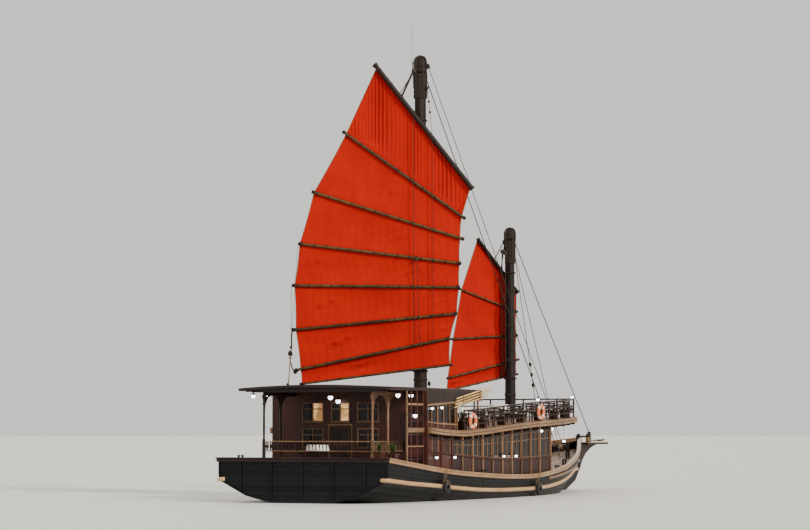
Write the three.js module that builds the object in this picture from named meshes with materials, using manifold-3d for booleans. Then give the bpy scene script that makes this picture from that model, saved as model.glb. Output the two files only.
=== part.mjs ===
// A two-masted wooden junk with a deckhouse, an open upper deck and battened red sails.
// Millimetres. +X is the bow, +Y the port side, +Z up. The origin is amidships at the waterline.
import * as THREE from "three";
import { mergeVertices } from "three/addons/utils/BufferGeometryUtils.js";
import Module from "manifold-3d";

// Driving dimensions. A place along the ship is its distance forward of the transom.
const AMIDSHIPS = 16500;
const GAP = 0.4;
const RUNNING_GAP = 0.5;

const HULL_STEP = 1200;
const DECK_CROWN = 60;
const KEEL_HALF_WIDTH = 120;

const RUB_RAIL = { from: -120, to: 30300, height: 190, proud: 130 };
const WALE = { from: 17600, to: 30900, height: 150, proud: 90 };
const GUNWALE = { depth: 200, inside: 90, outside: 110, end: 31200 };
const BULWARK = { from: 21600, thickness: 90 };
const RAIL_ROOT = 160;

const HOUSE = { aft: 4400, fore: 18300, halfWidth: 3850, wall: 70 };
const UPPER_HOUSE = { aft: 4400, fore: 8000, halfWidth: 3620, wall: 60 };
const UPPER_DECK_THICKNESS = 250;
const ROOF = { aft: 1000, fore: 10500, halfWidth: 3700, edge: 4840, rise: 130, thickness: 90 };
const FASCIA = { aft: 4460, lowAft: 4250, lowFore: 4550, thickness: 50, batten: 90 };
const WINDOW = { pitch: 1100, width: 880, sill: 820, head: 180 };

const MAIN_MAST = { at: 11700, foot: 330, head: 265, top: 19900, cap: 300, tip: 20800, sides: 20 };
const FORE_MAST = { at: 22200, foot: 300, head: 210, top: 12700, cap: 285, tip: 13400, sides: 20 };
const ANTENNA = { radius: 28, base: 19950, tip: 22200, side: 420 };

const RUDDER = { at: 3100, stock: 65, thickness: 120, sole: -1680, top: -670 };
const PROPELLER = { aft: 4020, face: 4500, height: -1120, radius: 420, hub: 110, blades: 4 };
const BLADE = { root: 60, chord: 230, thickness: 40, pitch: 35 };
const STEM_FACE = 31450;
const PLATFORM = { tip: 34400, top: 2500, thickness: 120, halfWidth: 480 };
const DOOR = { thickness: 50 };
const BITT = { half: 70, at: 31920, out: 260, foot: 2450, top: 2950 };
const WINDLASS = { at: 28400, radius: 150, height: 2250, half: 560, cheek: 120 };

const CANOPY = { posts: [1400, 2900], y: 2650, size: 110, beam: 4620, rail: 2650, arch: 620 };
const RAILING = { from: 8120, to: 22500, inset: 110, height: 900, post: 60, pitch: 1100 };
const LOW_RAIL_DROP = 420;
const BALUSTER_HALF = 22;
const RAIL_BAR = { half: 30, height: 60 };
const ROOF_POST = { at: 10300, half: 55, y: 3575 };

const LIFE_RING = { radius: 295, tube: 85 };
const TYRE = { radius: 195, tube: 95, drop: 40 };
const POLES = { radius: 42, y: ROOF.halfWidth + 41.9, count: 4, rise: 135 };
const STAY_RADIUS = 18;

const MAST_CAP = { flare: 60, shoulder: 260, waist: 120, taper: 0.45 };
const PARREL = { half: 45, thickness: 55, arm: 50 };
const CLOTH_THICKNESS = 24;

const placeX = (d) => d - AMIDSHIPS;

// Closed geometry helpers.
const wasm = await Module();
wasm.setup();

function toSolid(geometry) {
  const bare = geometry.clone();
  bare.deleteAttribute("normal");
  bare.deleteAttribute("uv");
  const merged = mergeVertices(bare, 1e-3);
  const index = new Uint32Array(merged.index.array);
  const mesh = { numProp: 3, vertProperties: merged.attributes.position.array, triVerts: index };
  return new wasm.Manifold(new wasm.Mesh(mesh));
}

function toGeometry(solid) {
  const mesh = solid.getMesh();
  const geometry = new THREE.BufferGeometry();
  const positions = new THREE.BufferAttribute(Float32Array.from(mesh.vertProperties), 3);
  geometry.setAttribute("position", positions);
  geometry.setIndex(Array.from(mesh.triVerts));
  return geometry;
}

const join = (...pieces) => toGeometry(pieces.map(toSolid).reduce((a, b) => a.add(b)));

const cut = (piece, ...tools) =>
  toGeometry(tools.map(toSolid).reduce((a, b) => a.subtract(b), toSolid(piece)));

const moved = (geometry, x, y, z) => geometry.clone().translate(x, y, z);

function mirrored(geometry) {
  const copy = geometry.clone().scale(1, -1, 1);
  const index = copy.index.array;
  for (let i = 0; i < index.length; i += 3) {
    [index[i + 1], index[i + 2]] = [index[i + 2], index[i + 1]];
  }
  return copy;
}

// An indexed geometry whose faces point out, whichever way its outline ran.
function facingOut(points, faces) {
  const geometry = new THREE.BufferGeometry();
  geometry.setAttribute("position", new THREE.Float32BufferAttribute(points.flat(), 3));
  let volume = 0;
  for (let i = 0; i < faces.length; i += 3) {
    const [a, b, c] = [points[faces[i]], points[faces[i + 1]], points[faces[i + 2]]];
    volume += new THREE.Vector3(...a).dot(new THREE.Vector3(...b).cross(new THREE.Vector3(...c)));
  }
  geometry.setIndex(volume < 0 ? faces.reverse() : faces);
  return geometry;
}

// A closed skin over rings of equally many points [x, y, z], each ring flat across the ship.
// Its second half splits each panel the other way, so that port and starboard mirror.
function loft(rings) {
  const count = rings[0].length;
  const faces = [];
  for (let r = 0; r + 1 < rings.length; r += 1) {
    for (let i = 0; i < count; i += 1) {
      const a = r * count + i;
      const b = r * count + ((i + 1) % count);
      if (i < (count - 1) / 2) faces.push(a, a + count, b + count, a, b + count, b);
      else faces.push(a, a + count, b, a + count, b + count, b);
    }
  }
  [0, rings.length - 1].forEach((r) => {
    const outline = rings[r].map(([, y, z]) => new THREE.Vector2(y, z));
    const turn = Math.sign(THREE.ShapeUtils.area(outline)) * (r === 0 ? 1 : -1);
    THREE.ShapeUtils.triangulateShape(outline, []).forEach(([a, b, c]) => {
      const kept = Math.sign(THREE.ShapeUtils.area([outline[a], outline[b], outline[c]])) === turn;
      faces.push(...(kept ? [a, b, c] : [a, c, b]).map((i) => r * count + i));
    });
  });
  return facingOut(rings.flat(), faces);
}

function block(x0, x1, y0, y1, z0, z1) {
  const geometry = new THREE.BoxGeometry(x1 - x0, y1 - y0, z1 - z0);
  return geometry.translate((x0 + x1) / 2, (y0 + y1) / 2, (z0 + z1) / 2);
}

// A round bar from one point to another, with its own radius at each end.
function rod(from, to, radius, endRadius = radius, sides = 8) {
  const a = new THREE.Vector3(...from);
  const b = new THREE.Vector3(...to);
  const along = b.clone().sub(a);
  const geometry = new THREE.CylinderGeometry(endRadius, radius, along.length(), sides, 1);
  const turn = new THREE.Quaternion();
  turn.setFromUnitVectors(new THREE.Vector3(0, 1, 0), along.clone().normalize());
  return geometry.applyQuaternion(turn).translate(...a.add(b).divideScalar(2).toArray());
}

// A solid of revolution about +Z from [radius, z] points.
function turned(profile, sides) {
  const points = profile.map(([r, z]) => new THREE.Vector2(r, z));
  const lathe = new THREE.LatheGeometry(points, sides).rotateX(Math.PI / 2);
  const bare = new THREE.BufferGeometry();
  bare.setAttribute("position", lathe.attributes.position);
  bare.setIndex(lathe.index);
  const merged = mergeVertices(bare, 1e-3);
  const corners = [];
  const position = merged.attributes.position;
  for (let i = 0; i < position.count; i += 1) {
    corners.push([position.getX(i), position.getY(i), position.getZ(i)]);
  }
  const faces = [];
  const index = merged.index.array;
  for (let i = 0; i < index.length; i += 3) {
    const [a, b, c] = [index[i], index[i + 1], index[i + 2]];
    if (a !== b && b !== c && c !== a) faces.push(a, b, c);
  }
  return facingOut(corners, faces);
}

// A plate with the outline [x, z], centred on the middle plane unless it is moved.
function plate(outline, thickness, y = 0) {
  const half = thickness / 2;
  const rings = [-half, half].map((side) => outline.map(([x, z]) => [side, x, z]));
  return loft(rings).applyMatrix4(new THREE.Matrix4().set(
    0, 1, 0, 0,
    -1, 0, 0, y,
    0, 0, 1, 0,
    0, 0, 0, 1,
  ));
}

// A rectangular bar through stations [x, y, z], the z being its middle.
const bar = (stations, width, height) =>
  loft(stations.map(([x, y, z]) => [
    [x, y - width / 2, z - height / 2],
    [x, y + width / 2, z - height / 2],
    [x, y + width / 2, z + height / 2],
    [x, y - width / 2, z + height / 2],
  ]));

// The value of one column of a table at d, on a smooth curve through its rows.
function along(table, column, d) {
  const last = table.length - 1;
  const found = table.findIndex((row) => row[0] > d);
  const i = found === -1 ? last - 1 : Math.max(found - 1, 0);
  const at = (k) => table[Math.min(Math.max(k, 0), last)];
  const [before, a, b, after] = [at(i - 1), at(i), at(i + 1), at(i + 2)];
  const span = b[0] - a[0];
  const t = Math.min(Math.max((d - a[0]) / span, 0), 1);
  const slope = (p, q) => (q[0] === p[0] ? 0 : ((q[column] - p[column]) / (q[0] - p[0])) * span);
  const [m0, m1] = [slope(before, b), slope(a, after)];
  const [t2, t3] = [t * t, t * t * t];
  return (2 * t3 - 3 * t2 + 1) * a[column] + (t3 - 2 * t2 + t) * m0
    + (3 * t2 - 2 * t3) * b[column] + (t3 - t2) * m1;
}

// Hull half-sections: place, keel height, two bilge corners (y, z), the rub rail (y, z), deck (y, z).
const HULL = [
  [0, -100, 1300, 40, 2500, 240, 4090, 1000, 4100, 1870],
  [2000, -330, 1600, -180, 2950, 60, 4090, 850, 4150, 1690],
  [5000, -700, 1900, -520, 3250, -240, 4110, 680, 4200, 1390],
  [9000, -1200, 2100, -1000, 3500, -560, 4130, 450, 4250, 1120],
  [13000, -1450, 2100, -1250, 3550, -720, 4080, 370, 4220, 970],
  [17000, -1500, 1900, -1300, 3300, -740, 3930, 410, 4080, 1010],
  [20000, -1480, 1600, -1230, 2800, -680, 3500, 560, 3730, 1150],
  [22500, -1400, 1250, -1100, 2200, -560, 2930, 780, 3260, 1310],
  [24500, -1200, 850, -900, 1550, -350, 2300, 930, 2700, 1480],
  [26500, -720, 500, -480, 920, -20, 1550, 990, 1930, 1660],
  [28200, -40, 290, 160, 520, 500, 920, 1030, 1260, 1830],
  [29500, 330, 190, 500, 290, 740, 450, 1080, 720, 1960],
  [30400, 600, 140, 740, 190, 900, 260, 1150, 400, 2050],
  [31200, 1350, 100, 1450, 110, 1600, 120, 1750, 140, 2130],
];
const [KEEL_Z, RAIL_Y, RAIL_Z, DECK_Y, DECK_Z] = [1, 6, 7, 8, 9];

// Place, half-breadth and height of the top of the gunwale.
const GUNWALE_TOP = [
  [0, 4100, 1950],
  [2000, 4150, 1750],
  [6000, 4220, 1380],
  [10500, 4250, 1150],
  [13000, 4220, 1080],
  [16000, 4150, 1090],
  [20000, 3760, 1370],
  [22000, 3400, 1640],
  [24000, 2900, 2000],
  [27000, 1760, 2350],
  [29500, 760, 2590],
  [31200, 160, 2750],
];

// Place and height of the wale that leaves the gunwale at the bow.
const WALE_LINE = [
  [17600, 830],
  [20000, 970],
  [24000, 1270],
  [31000, 1540],
];

// Place, half-breadth and middle height of the upper deck.
const UPPER_DECK = [
  [4400, 4000, 3110],
  [6000, 4000, 3010],
  [8000, 4000, 2960],
  [10500, 4000, 3070],
  [13000, 4000, 3240],
  [16000, 4000, 3400],
  [20000, 3850, 3540],
  [22900, 3350, 3660],
];

// Colours and finish of the ship's materials.
const MATERIALS = {
  hull: ["#16130f", 0.7, 0],
  rail: ["#8a6446", 0.65, 0],
  wood: ["#2b1a12", 0.7, 0],
  spar: ["#33201a", 0.65, 0],
  sail: ["#c0200c", 0.85, 0],
  rope: ["#6b5a45", 0.9, 0],
  bamboo: ["#b08a58", 0.6, 0],
  ring: ["#d9a27a", 0.6, 0],
  tyre: ["#0d0d0d", 0.9, 0],
  bronze: ["#8c6a2f", 0.4, 0.9],
  metal: ["#4c4a47", 0.5, 0.8],
};
const finishes = Object.fromEntries(
  Object.entries(MATERIALS).map(([name, [color, roughness, metalness]]) => [
    name,
    new THREE.MeshStandardMaterial({ name, color, roughness, metalness }),
  ]),
);

function part(name, geometry, finish) {
  geometry.computeVertexNormals();
  const mesh = new THREE.Mesh(geometry, finishes[finish]);
  mesh.name = name;
  return mesh;
}

// Places from one end of a stretch to the other, both ends included.
function steps(from, to, step) {
  const count = Math.max(Math.round((to - from) / step), 1);
  return Array.from({ length: count + 1 }, (_, i) => from + ((to - from) * i) / count);
}

// A column's value on the straight planks between two of the hull's frames.
function planked(table, column, d) {
  const last = HULL[HULL.length - 1][0] / HULL_STEP;
  const frame = Math.min(Math.max(Math.floor(d / HULL_STEP), 0), last - 1);
  const [a, b] = [frame, frame + 1].map((i) => along(table, column, i * HULL_STEP));
  return a + (b - a) * (d / HULL_STEP - frame);
}

// The hull's frames between two places, with both places.
function framesBetween(from, to) {
  const frames = steps(0, HULL[HULL.length - 1][0], HULL_STEP);
  return [from, ...frames.filter((d) => d > from + 1 && d < to - 1), to];
}

const gunwaleY = (d) => planked(GUNWALE_TOP, 1, d);
const gunwaleZ = (d) => planked(GUNWALE_TOP, 2, d);
const deckY = (d) => planked(HULL, DECK_Y, d);
const deckZ = (d) => planked(HULL, DECK_Z, d);
const rubRailZ = (d) => planked(HULL, RAIL_Z, d);
const waleZ = (d) => along(WALE_LINE, 1, d);
const hullY = (d, z) => {
  const low = planked(HULL, RAIL_Y, d);
  return low + ((deckY(d) - low) * (z - rubRailZ(d))) / (deckZ(d) - rubRailZ(d));
};
const upperDeckTop = (d) => {
  const i = Math.max(UPPER_DECK.findIndex((row) => row[0] > d), 1);
  const [a, b] = [UPPER_DECK[i - 1], UPPER_DECK[i]];
  const t = (d - a[0]) / (b[0] - a[0]);
  return a[2] + (b[2] - a[2]) * t + UPPER_DECK_THICKNESS / 2;
};

// Hull: a solid from keel to deck, with a crowned deck.
function hullRing(d) {
  const value = (column) => along(HULL, column, d);
  const half = [
    [KEEL_HALF_WIDTH, value(KEEL_Z)],
    [value(2), value(3)],
    [value(4), value(5)],
    [value(RAIL_Y), value(RAIL_Z)],
    [value(DECK_Y), value(DECK_Z)],
  ];
  const x = placeX(d);
  return [
    ...half.map(([y, z]) => [x, y, z]),
    [x, 0, value(DECK_Z) + DECK_CROWN],
    ...half.map(([y, z]) => [x, -y, z]).reverse(),
  ];
}
const hullShape = loft(steps(0, HULL[HULL.length - 1][0], HULL_STEP).map(hullRing));

// A rail that follows the hull's side, cut to lie against it.
function sideRail(from, to, zOf, height, proud) {
  const rings = framesBetween(from, to).map((d) => {
    const [x, z] = [placeX(d), zOf(d)];
    const low = hullY(d, z - height / 2);
    const high = hullY(d, z + height / 2);
    return [
      [x, low - RAIL_ROOT, z - height / 2],
      [x, low + proud, z - height / 2],
      [x, high + proud, z + height / 2],
      [x, high - RAIL_ROOT, z + height / 2],
    ];
  });
  return cut(loft(rings), moved(hullShape, 0, GAP, 0), moved(hullShape, -GAP, 0, 0));
}

const rubRail = sideRail(RUB_RAIL.from, RUB_RAIL.to, rubRailZ, RUB_RAIL.height, RUB_RAIL.proud);
const wale = sideRail(WALE.from, WALE.to, waleZ, WALE.height, WALE.proud);

const gunwaleRings = framesBetween(0, GUNWALE.end).map((d) => {
  const [x, y, z] = [placeX(d), gunwaleY(d), gunwaleZ(d)];
  const inner = Math.max(y - GUNWALE.inside, 20);
  return [
    [x, inner, z - GUNWALE.depth],
    [x, y + GUNWALE.outside, z - GUNWALE.depth],
    [x, y + GUNWALE.outside, z],
    [x, inner, z],
  ];
});
const gunwale = cut(
  loft(gunwaleRings),
  moved(hullShape, 0, GAP, GAP),
  moved(hullShape, 0, -GAP, GAP),
);

// The bow bulwark stands on the deck's edge and carries the gunwale.
const bulwarkRings = framesBetween(BULWARK.from, GUNWALE.end).map((d) => {
  const [x, low, high] = [placeX(d), deckZ(d) - 12, gunwaleZ(d) - GUNWALE.depth - GAP];
  const [out, top] = [deckY(d) - 14, gunwaleY(d)];
  return [
    [x, Math.max(out - BULWARK.thickness, 8), low],
    [x, out, low],
    [x, top, high],
    [x, Math.max(top - BULWARK.thickness, 8), high],
  ];
});
const bulwark = cut(loft(bulwarkRings), moved(hullShape, 0, 0, GAP));

const transomBeam = block(
  placeX(-160), placeX(0) - GAP, -gunwaleY(0) - GUNWALE.outside, gunwaleY(0) + GUNWALE.outside,
  gunwaleZ(0) - GUNWALE.depth, gunwaleZ(0),
);

// Keel with the sole that the rudder stands on, and the stem.
const keelOutline = [
  [2700, -1800],
  [22000, -1800],
  [24500, -1600],
  [26200, -1050],
  [26900, -500],
  [PROPELLER.face, -500],
  [PROPELLER.face, RUDDER.sole],
  [2700, RUDDER.sole],
].map(([d, z]) => [placeX(d), z]);
const keel = cut(plate(keelOutline, 2 * KEEL_HALF_WIDTH), moved(hullShape, 0, 0, -GAP));

const keelLine = (d) => planked(HULL, KEEL_Z, d);
const stemBack = framesBetween(27600, 31200).map((d) => [d, keelLine(d) - RUNNING_GAP]);
const stemOutline = [
  ...stemBack.slice(0, -1),
  [31200 + GAP, keelLine(31200) - RUNNING_GAP],
  [31200 + GAP, 2860],
  [STEM_FACE, 2860],
  [STEM_FACE, 1650],
  [31330, 1230],
  [30550, 480],
  [29400, 60],
  [28400, -230],
  [27600, keelLine(27600) - 150],
].map(([d, z]) => [placeX(d), z]);
const stemPost = plate(stemOutline, 220);

// Rudder: a blade and a round stock that stands on the sole.
const rudderX = placeX(RUDDER.at);
const rudderOutline = [
  [-1500, -1500],
  [-1300, -1600],
  [230, -1600],
  [230, -820],
  [-200, -720],
  [-1500, -560],
].map(([x, z]) => [rudderX + x, z]);
const rudder = join(
  plate(rudderOutline, RUDDER.thickness),
  rod([rudderX, 0, RUDDER.sole + RUNNING_GAP], [rudderX, 0, RUDDER.top], RUDDER.stock, RUDDER.stock, 16),
);

// Propeller: a hub with pitched blades.
const bladeAt = (i) => {
  const blade = new THREE.BoxGeometry(BLADE.thickness, BLADE.chord, PROPELLER.radius - BLADE.root);
  blade.rotateZ(THREE.MathUtils.degToRad(BLADE.pitch));
  blade.translate(0, 0, (PROPELLER.radius + BLADE.root) / 2);
  return blade.rotateX((2 * Math.PI * i) / PROPELLER.blades);
};
const hubX = placeX((PROPELLER.aft + PROPELLER.face) / 2);
const propeller = join(
  rod([placeX(PROPELLER.aft), 0, PROPELLER.height],
    [placeX(PROPELLER.face) - RUNNING_GAP, 0, PROPELLER.height], 70, PROPELLER.hub, 12),
  ...Array.from({ length: PROPELLER.blades }, (_, i) => moved(bladeAt(i), hubX, 0, PROPELLER.height)),
);

// Masts stand on the deck, tapered, with a wider cap and a point.
const mastFoot = (mast) => deckZ(mast.at) - 60;
function mastShape(mast) {
  const foot = mastFoot(mast);
  const whole = turned([
    [0, foot],
    [mast.foot, foot],
    [mast.head, mast.top],
    [mast.cap, mast.top + MAST_CAP.flare],
    [mast.cap, mast.tip - MAST_CAP.shoulder],
    [mast.cap * MAST_CAP.taper, mast.tip - MAST_CAP.waist],
    [0, mast.tip],
  ], mast.sides).translate(placeX(mast.at), 0, 0);
  return cut(whole, moved(hullShape, 0, 0, GAP));
}
const mastRadius = (mast, z) => {
  const foot = mastFoot(mast);
  return mast.foot + ((mast.head - mast.foot) * (z - foot)) / (mast.top - foot);
};
const mainMast = mastShape(MAIN_MAST);
const foreMast = mastShape(FORE_MAST);
const mastX = placeX(MAIN_MAST.at);
const antenna = cut(
  join(
    rod([mastX, ANTENNA.side, ANTENNA.base], [mastX, ANTENNA.side, ANTENNA.tip],
      ANTENNA.radius, ANTENNA.radius / 2, 8),
    ...[20080, 20420].map((z) => block(mastX - 20, mastX + 20, 150, ANTENNA.side, z, z + 40)),
  ),
  moved(mainMast, 0, GAP, 0),
);
const mastHole = (mast, z, height) => {
  const radius = mastRadius(mast, z - height / 2) + 1;
  return rod([placeX(mast.at), 0, z - height], [placeX(mast.at), 0, z + height], radius, radius, mast.sides);
};

// Upper deck: one slab with the sheer of its edge, open round each mast.
const deckSlab = (below, above) => loft(UPPER_DECK.map(([d, y, z]) => {
  const [x, low, high] = [placeX(d), z - below, z + above];
  return [[x, -y, low], [x, y, low], [x, y, high], [x, -y, high]];
}));
const fromUpperDeckUp = deckSlab(UPPER_DECK_THICKNESS / 2 + GAP, 2500);
const upperDeck = cut(
  deckSlab(UPPER_DECK_THICKNESS / 2, UPPER_DECK_THICKNESS / 2),
  mastHole(MAIN_MAST, upperDeckTop(MAIN_MAST.at), 600),
  mastHole(FORE_MAST, upperDeckTop(FORE_MAST.at), 600),
);

// Roof: a cambered slab with a deep fascia along each side of the deckhouse.
function roofLine(y) {
  const t = y / ROOF.halfWidth;
  return ROOF.edge + ROOF.rise * (1 - t * t);
}
const roofYs = steps(-ROOF.halfWidth, ROOF.halfWidth, ROOF.halfWidth / 4);
const roofRing = (x) => [
  ...roofYs.map((y) => [x, y, roofLine(y)]),
  ...roofYs.map((y) => [x, y, roofLine(y) + ROOF.thickness]).reverse(),
];
const fasciaOutline = [
  [FASCIA.aft, FASCIA.lowAft],
  [ROOF.fore, FASCIA.lowFore],
  [ROOF.fore, ROOF.edge + 20],
  [FASCIA.aft, ROOF.edge + 20],
].map(([d, z]) => [placeX(d), z]);
const fasciaBatten = [
  [FASCIA.aft, FASCIA.lowAft - FASCIA.batten],
  [ROOF.fore, FASCIA.lowFore - FASCIA.batten],
  [ROOF.fore, FASCIA.lowFore + 20],
  [FASCIA.aft, FASCIA.lowAft + 20],
].map(([d, z]) => [placeX(d), z]);
const fasciaY = ROOF.halfWidth - FASCIA.thickness / 2;
const fascia = (side) => join(
  plate(fasciaOutline, FASCIA.thickness, side * fasciaY),
  plate(fasciaBatten, FASCIA.thickness + 20, side * (fasciaY - 10)),
);
const fromRoofUp = loft([placeX(0), placeX(ROOF.fore + 500)].map((x) => [
  ...roofYs.map((y) => [x, 1.1 * y, roofLine(1.1 * y) - GAP]),
  [x, 1.1 * ROOF.halfWidth, 6000],
  [x, -1.1 * ROOF.halfWidth, 6000],
]));
const roofSlab = loft([roofRing(placeX(ROOF.aft)), roofRing(placeX(ROOF.fore))]);
const roofBeam = (d) => block(
  placeX(d) - 45, placeX(d) + 45, -3200, 3200, roofLine(3200) - 110, roofLine(3200) + 40,
);
const roof = join(roofSlab, fascia(1), fascia(-1), roofBeam(1300), roofBeam(2900), roofBeam(10300));

// Lower house walls, with a window between each pair of posts.
const sideWindow = (d) => {
  const low = deckZ(d) + WINDOW.sill;
  const high = upperDeckTop(d) - UPPER_DECK_THICKNESS - WINDOW.head;
  const x = placeX(d);
  return block(x - WINDOW.width / 2, x + WINDOW.width / 2, 0, 2 * HOUSE.halfWidth, low, high);
};
const houseWindows = steps(HOUSE.aft + 850, HOUSE.fore - 850, WINDOW.pitch).map(sideWindow);
const houseWall = cut(
  loft(framesBetween(HOUSE.aft, HOUSE.fore).map((d) => [
    [placeX(d), HOUSE.halfWidth - HOUSE.wall, deckZ(d) - 20],
    [placeX(d), HOUSE.halfWidth, deckZ(d) - 20],
    [placeX(d), HOUSE.halfWidth, 3700],
    [placeX(d), HOUSE.halfWidth - HOUSE.wall, 3700],
  ])),
  ...houseWindows,
  moved(hullShape, 0, 0, GAP),
  fromUpperDeckUp,
);

// Bulkheads run between the side walls. Openings are [y0, y1, z0, z1].
function bulkhead(d, halfWidth, low, high, openings) {
  const x = placeX(d);
  const holes = openings.map(([y0, y1, z0, z1]) => block(x - 200, x + 200, y0, y1, z0, z1));
  return cut(block(x - HOUSE.wall / 2, x + HOUSE.wall / 2, -halfWidth, halfWidth, low, high), ...holes);
}
const AFT_BULKHEAD_AT = HOUSE.aft - HOUSE.wall / 2 - GAP;
const AFT_OPENINGS = [
  [-50, 850, 1700, 3250],
  [-1500, -450, 2350, 3200],
  [1250, 2300, 2350, 3200],
  [-1500, -450, 3500, 4350],
  [-50, 850, 3500, 4350],
  [1250, 2300, 3500, 4350],
];
const bulkheadAft = cut(
  bulkhead(AFT_BULKHEAD_AT, HOUSE.halfWidth, 900, 5200, AFT_OPENINGS),
  moved(hullShape, 0, 0, GAP),
  moved(roof, 0, 0, -GAP),
  fromRoofUp,
);
const FORE_BULKHEAD_AT = HOUSE.fore - HOUSE.wall / 2;
const FORE_OPENINGS = [
  [-450, 450, 1330, 3050],
  [-3300, -2400, 2000, 3050],
  [-2100, -1200, 2000, 3050],
  [1200, 2100, 2000, 3050],
  [2400, 3300, 2000, 3050],
];
const bulkheadFore = cut(
  bulkhead(FORE_BULKHEAD_AT, HOUSE.halfWidth - HOUSE.wall - GAP, 700, 3450, FORE_OPENINGS),
  moved(hullShape, 0, 0, GAP),
  fromUpperDeckUp,
);

// Upper house, from the upper deck to the roof.
const upperX = [placeX(UPPER_HOUSE.aft) + GAP, placeX(UPPER_HOUSE.fore)];
const upperWindows = steps(UPPER_HOUSE.aft + 560, UPPER_HOUSE.fore - 560, 620).map((d) =>
  block(placeX(d) - 230, placeX(d) + 230, 0, 5000, upperDeckTop(d) + 260, 4560));
const upperWall = cut(
  block(upperX[0], upperX[1], UPPER_HOUSE.halfWidth - UPPER_HOUSE.wall, UPPER_HOUSE.halfWidth, 3000, 5200),
  ...upperWindows,
  moved(upperDeck, 0, 0, GAP),
  moved(roof, 0, 0, -GAP),
  moved(roof, 0, -GAP, 0),
  fromRoofUp,
);
const upperBulkheadFore = cut(
  bulkhead(
    UPPER_HOUSE.fore - HOUSE.wall / 2, UPPER_HOUSE.halfWidth - UPPER_HOUSE.wall - GAP, 3000, 5200,
    [[-500, 500, 3200, 4560], [-3000, -1000, 3500, 4560], [1000, 3000, 3500, 4560]],
  ),
  moved(upperDeck, 0, 0, GAP),
  moved(roof, 0, 0, -GAP),
  fromRoofUp,
);

// Stern canopy frames: two posts a side, a beam, arched brackets and a side rail.
const lowRails = [CANOPY.rail, CANOPY.rail - LOW_RAIL_DROP];
const baluster = (x, y) => block(
  x - BALUSTER_HALF, x + BALUSTER_HALF, y - BALUSTER_HALF, y + BALUSTER_HALF,
  CANOPY.rail - LOW_RAIL_DROP - 20, CANOPY.rail - RAIL_BAR.height / 2,
);
function canopyFrame() {
  const half = CANOPY.size / 2;
  const post = (d) => block(
    placeX(d) - half, placeX(d) + half, CANOPY.y - half, CANOPY.y + half, 1200, 4900);
  const bracket = (d, direction) => {
    const x = placeX(d) + direction * 20;
    const curve = steps(0, 90, 18).map((a) => {
      const turn = THREE.MathUtils.degToRad(a);
      const [out, up] = [CANOPY.arch * (1 - Math.cos(turn)), CANOPY.arch * Math.sin(turn)];
      return [x + direction * out, CANOPY.beam - CANOPY.arch + up];
    });
    return plate([...curve, [x, CANOPY.beam + 20]], 70, CANOPY.y);
  };
  const end = placeX(AFT_BULKHEAD_AT) - HOUSE.wall / 2 - GAP;
  const start = placeX(CANOPY.posts[0]) - half;
  const rails = lowRails.map((z) =>
    block(start, end, CANOPY.y - RAIL_BAR.half, CANOPY.y + RAIL_BAR.half, z - RAIL_BAR.height, z));
  const balusters = steps(1800, 4100, 330).map((d) => baluster(placeX(d), CANOPY.y));
  return cut(
    join(
      ...CANOPY.posts.map(post),
      block(start, end, CANOPY.y - 45, CANOPY.y + 45, CANOPY.beam, CANOPY.beam + 120),
      bracket(CANOPY.posts[0], 1),
      bracket(CANOPY.posts[1], -1),
      bracket(CANOPY.posts[1], 1),
      ...rails,
      ...balusters,
    ),
    moved(hullShape, 0, 0, GAP),
    moved(roof, 0, 0, -GAP),
    fromRoofUp,
  );
}
const canopy = canopyFrame();

const sternRailEnd = CANOPY.y - CANOPY.size / 2 - GAP;
const sternRailX = placeX(CANOPY.posts[0]);
const sternRail = join(
  ...lowRails.map((z) =>
    block(sternRailX - RAIL_BAR.half, sternRailX + RAIL_BAR.half, -sternRailEnd, sternRailEnd,
      z - RAIL_BAR.height, z)),
  ...steps(-2400, 2400, 400).map((y) => baluster(sternRailX, y)),
);

// Upper deck railing: posts on the deck's edge with three rails.
const upperEdge = (d) => along(UPPER_DECK, 1, d) - RAILING.inset;
const railPosts = steps(RAILING.from, RAILING.to, RAILING.pitch);

// The railing's distance from the centreline, and its turn in plan, between two posts.
function railingAt(d) {
  const i = Math.max(railPosts.findIndex((at) => at > d), 1);
  const [a, b] = [railPosts[i - 1], railPosts[i]];
  const slope = (upperEdge(b) - upperEdge(a)) / (b - a);
  return { y: upperEdge(a) + slope * (d - a), turn: Math.atan(slope) };
}

function sideRailing() {
  const half = RAILING.post / 2;
  const posts = railPosts.map((d) => {
    const [x, y, top] = [placeX(d), upperEdge(d), upperDeckTop(d) + RAILING.height];
    return block(x - half, x + half, y - half, y + half, top - RAILING.height - 90, top);
  });
  const rails = [[0, 90, 80], [-330, 60, 50], [-640, 60, 50]].map(([drop, width, height]) =>
    bar(
      railPosts.map((d) => [placeX(d), upperEdge(d), upperDeckTop(d) + RAILING.height + drop]),
      width, height,
    ));
  const tall = block(
    placeX(ROOF_POST.at) - ROOF_POST.half, placeX(ROOF_POST.at) + ROOF_POST.half,
    ROOF_POST.y - ROOF_POST.half, ROOF_POST.y + ROOF_POST.half, 3000, 5200,
  );
  return {
    railing: cut(join(...posts, ...rails), moved(upperDeck, 0, 0, GAP)),
    post: cut(
      tall,
      moved(upperDeck, 0, 0, GAP),
      moved(roof, 0, 0, -GAP),
      moved(roof, 0, -GAP, 0),
      fromRoofUp,
    ),
  };
}
const { railing, post: roofPost } = sideRailing();
const foreRailX = placeX(22800);
const foreRailY = upperEdge(22700) - 60;
const foreRailTop = upperDeckTop(22800) + RAILING.height;
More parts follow.
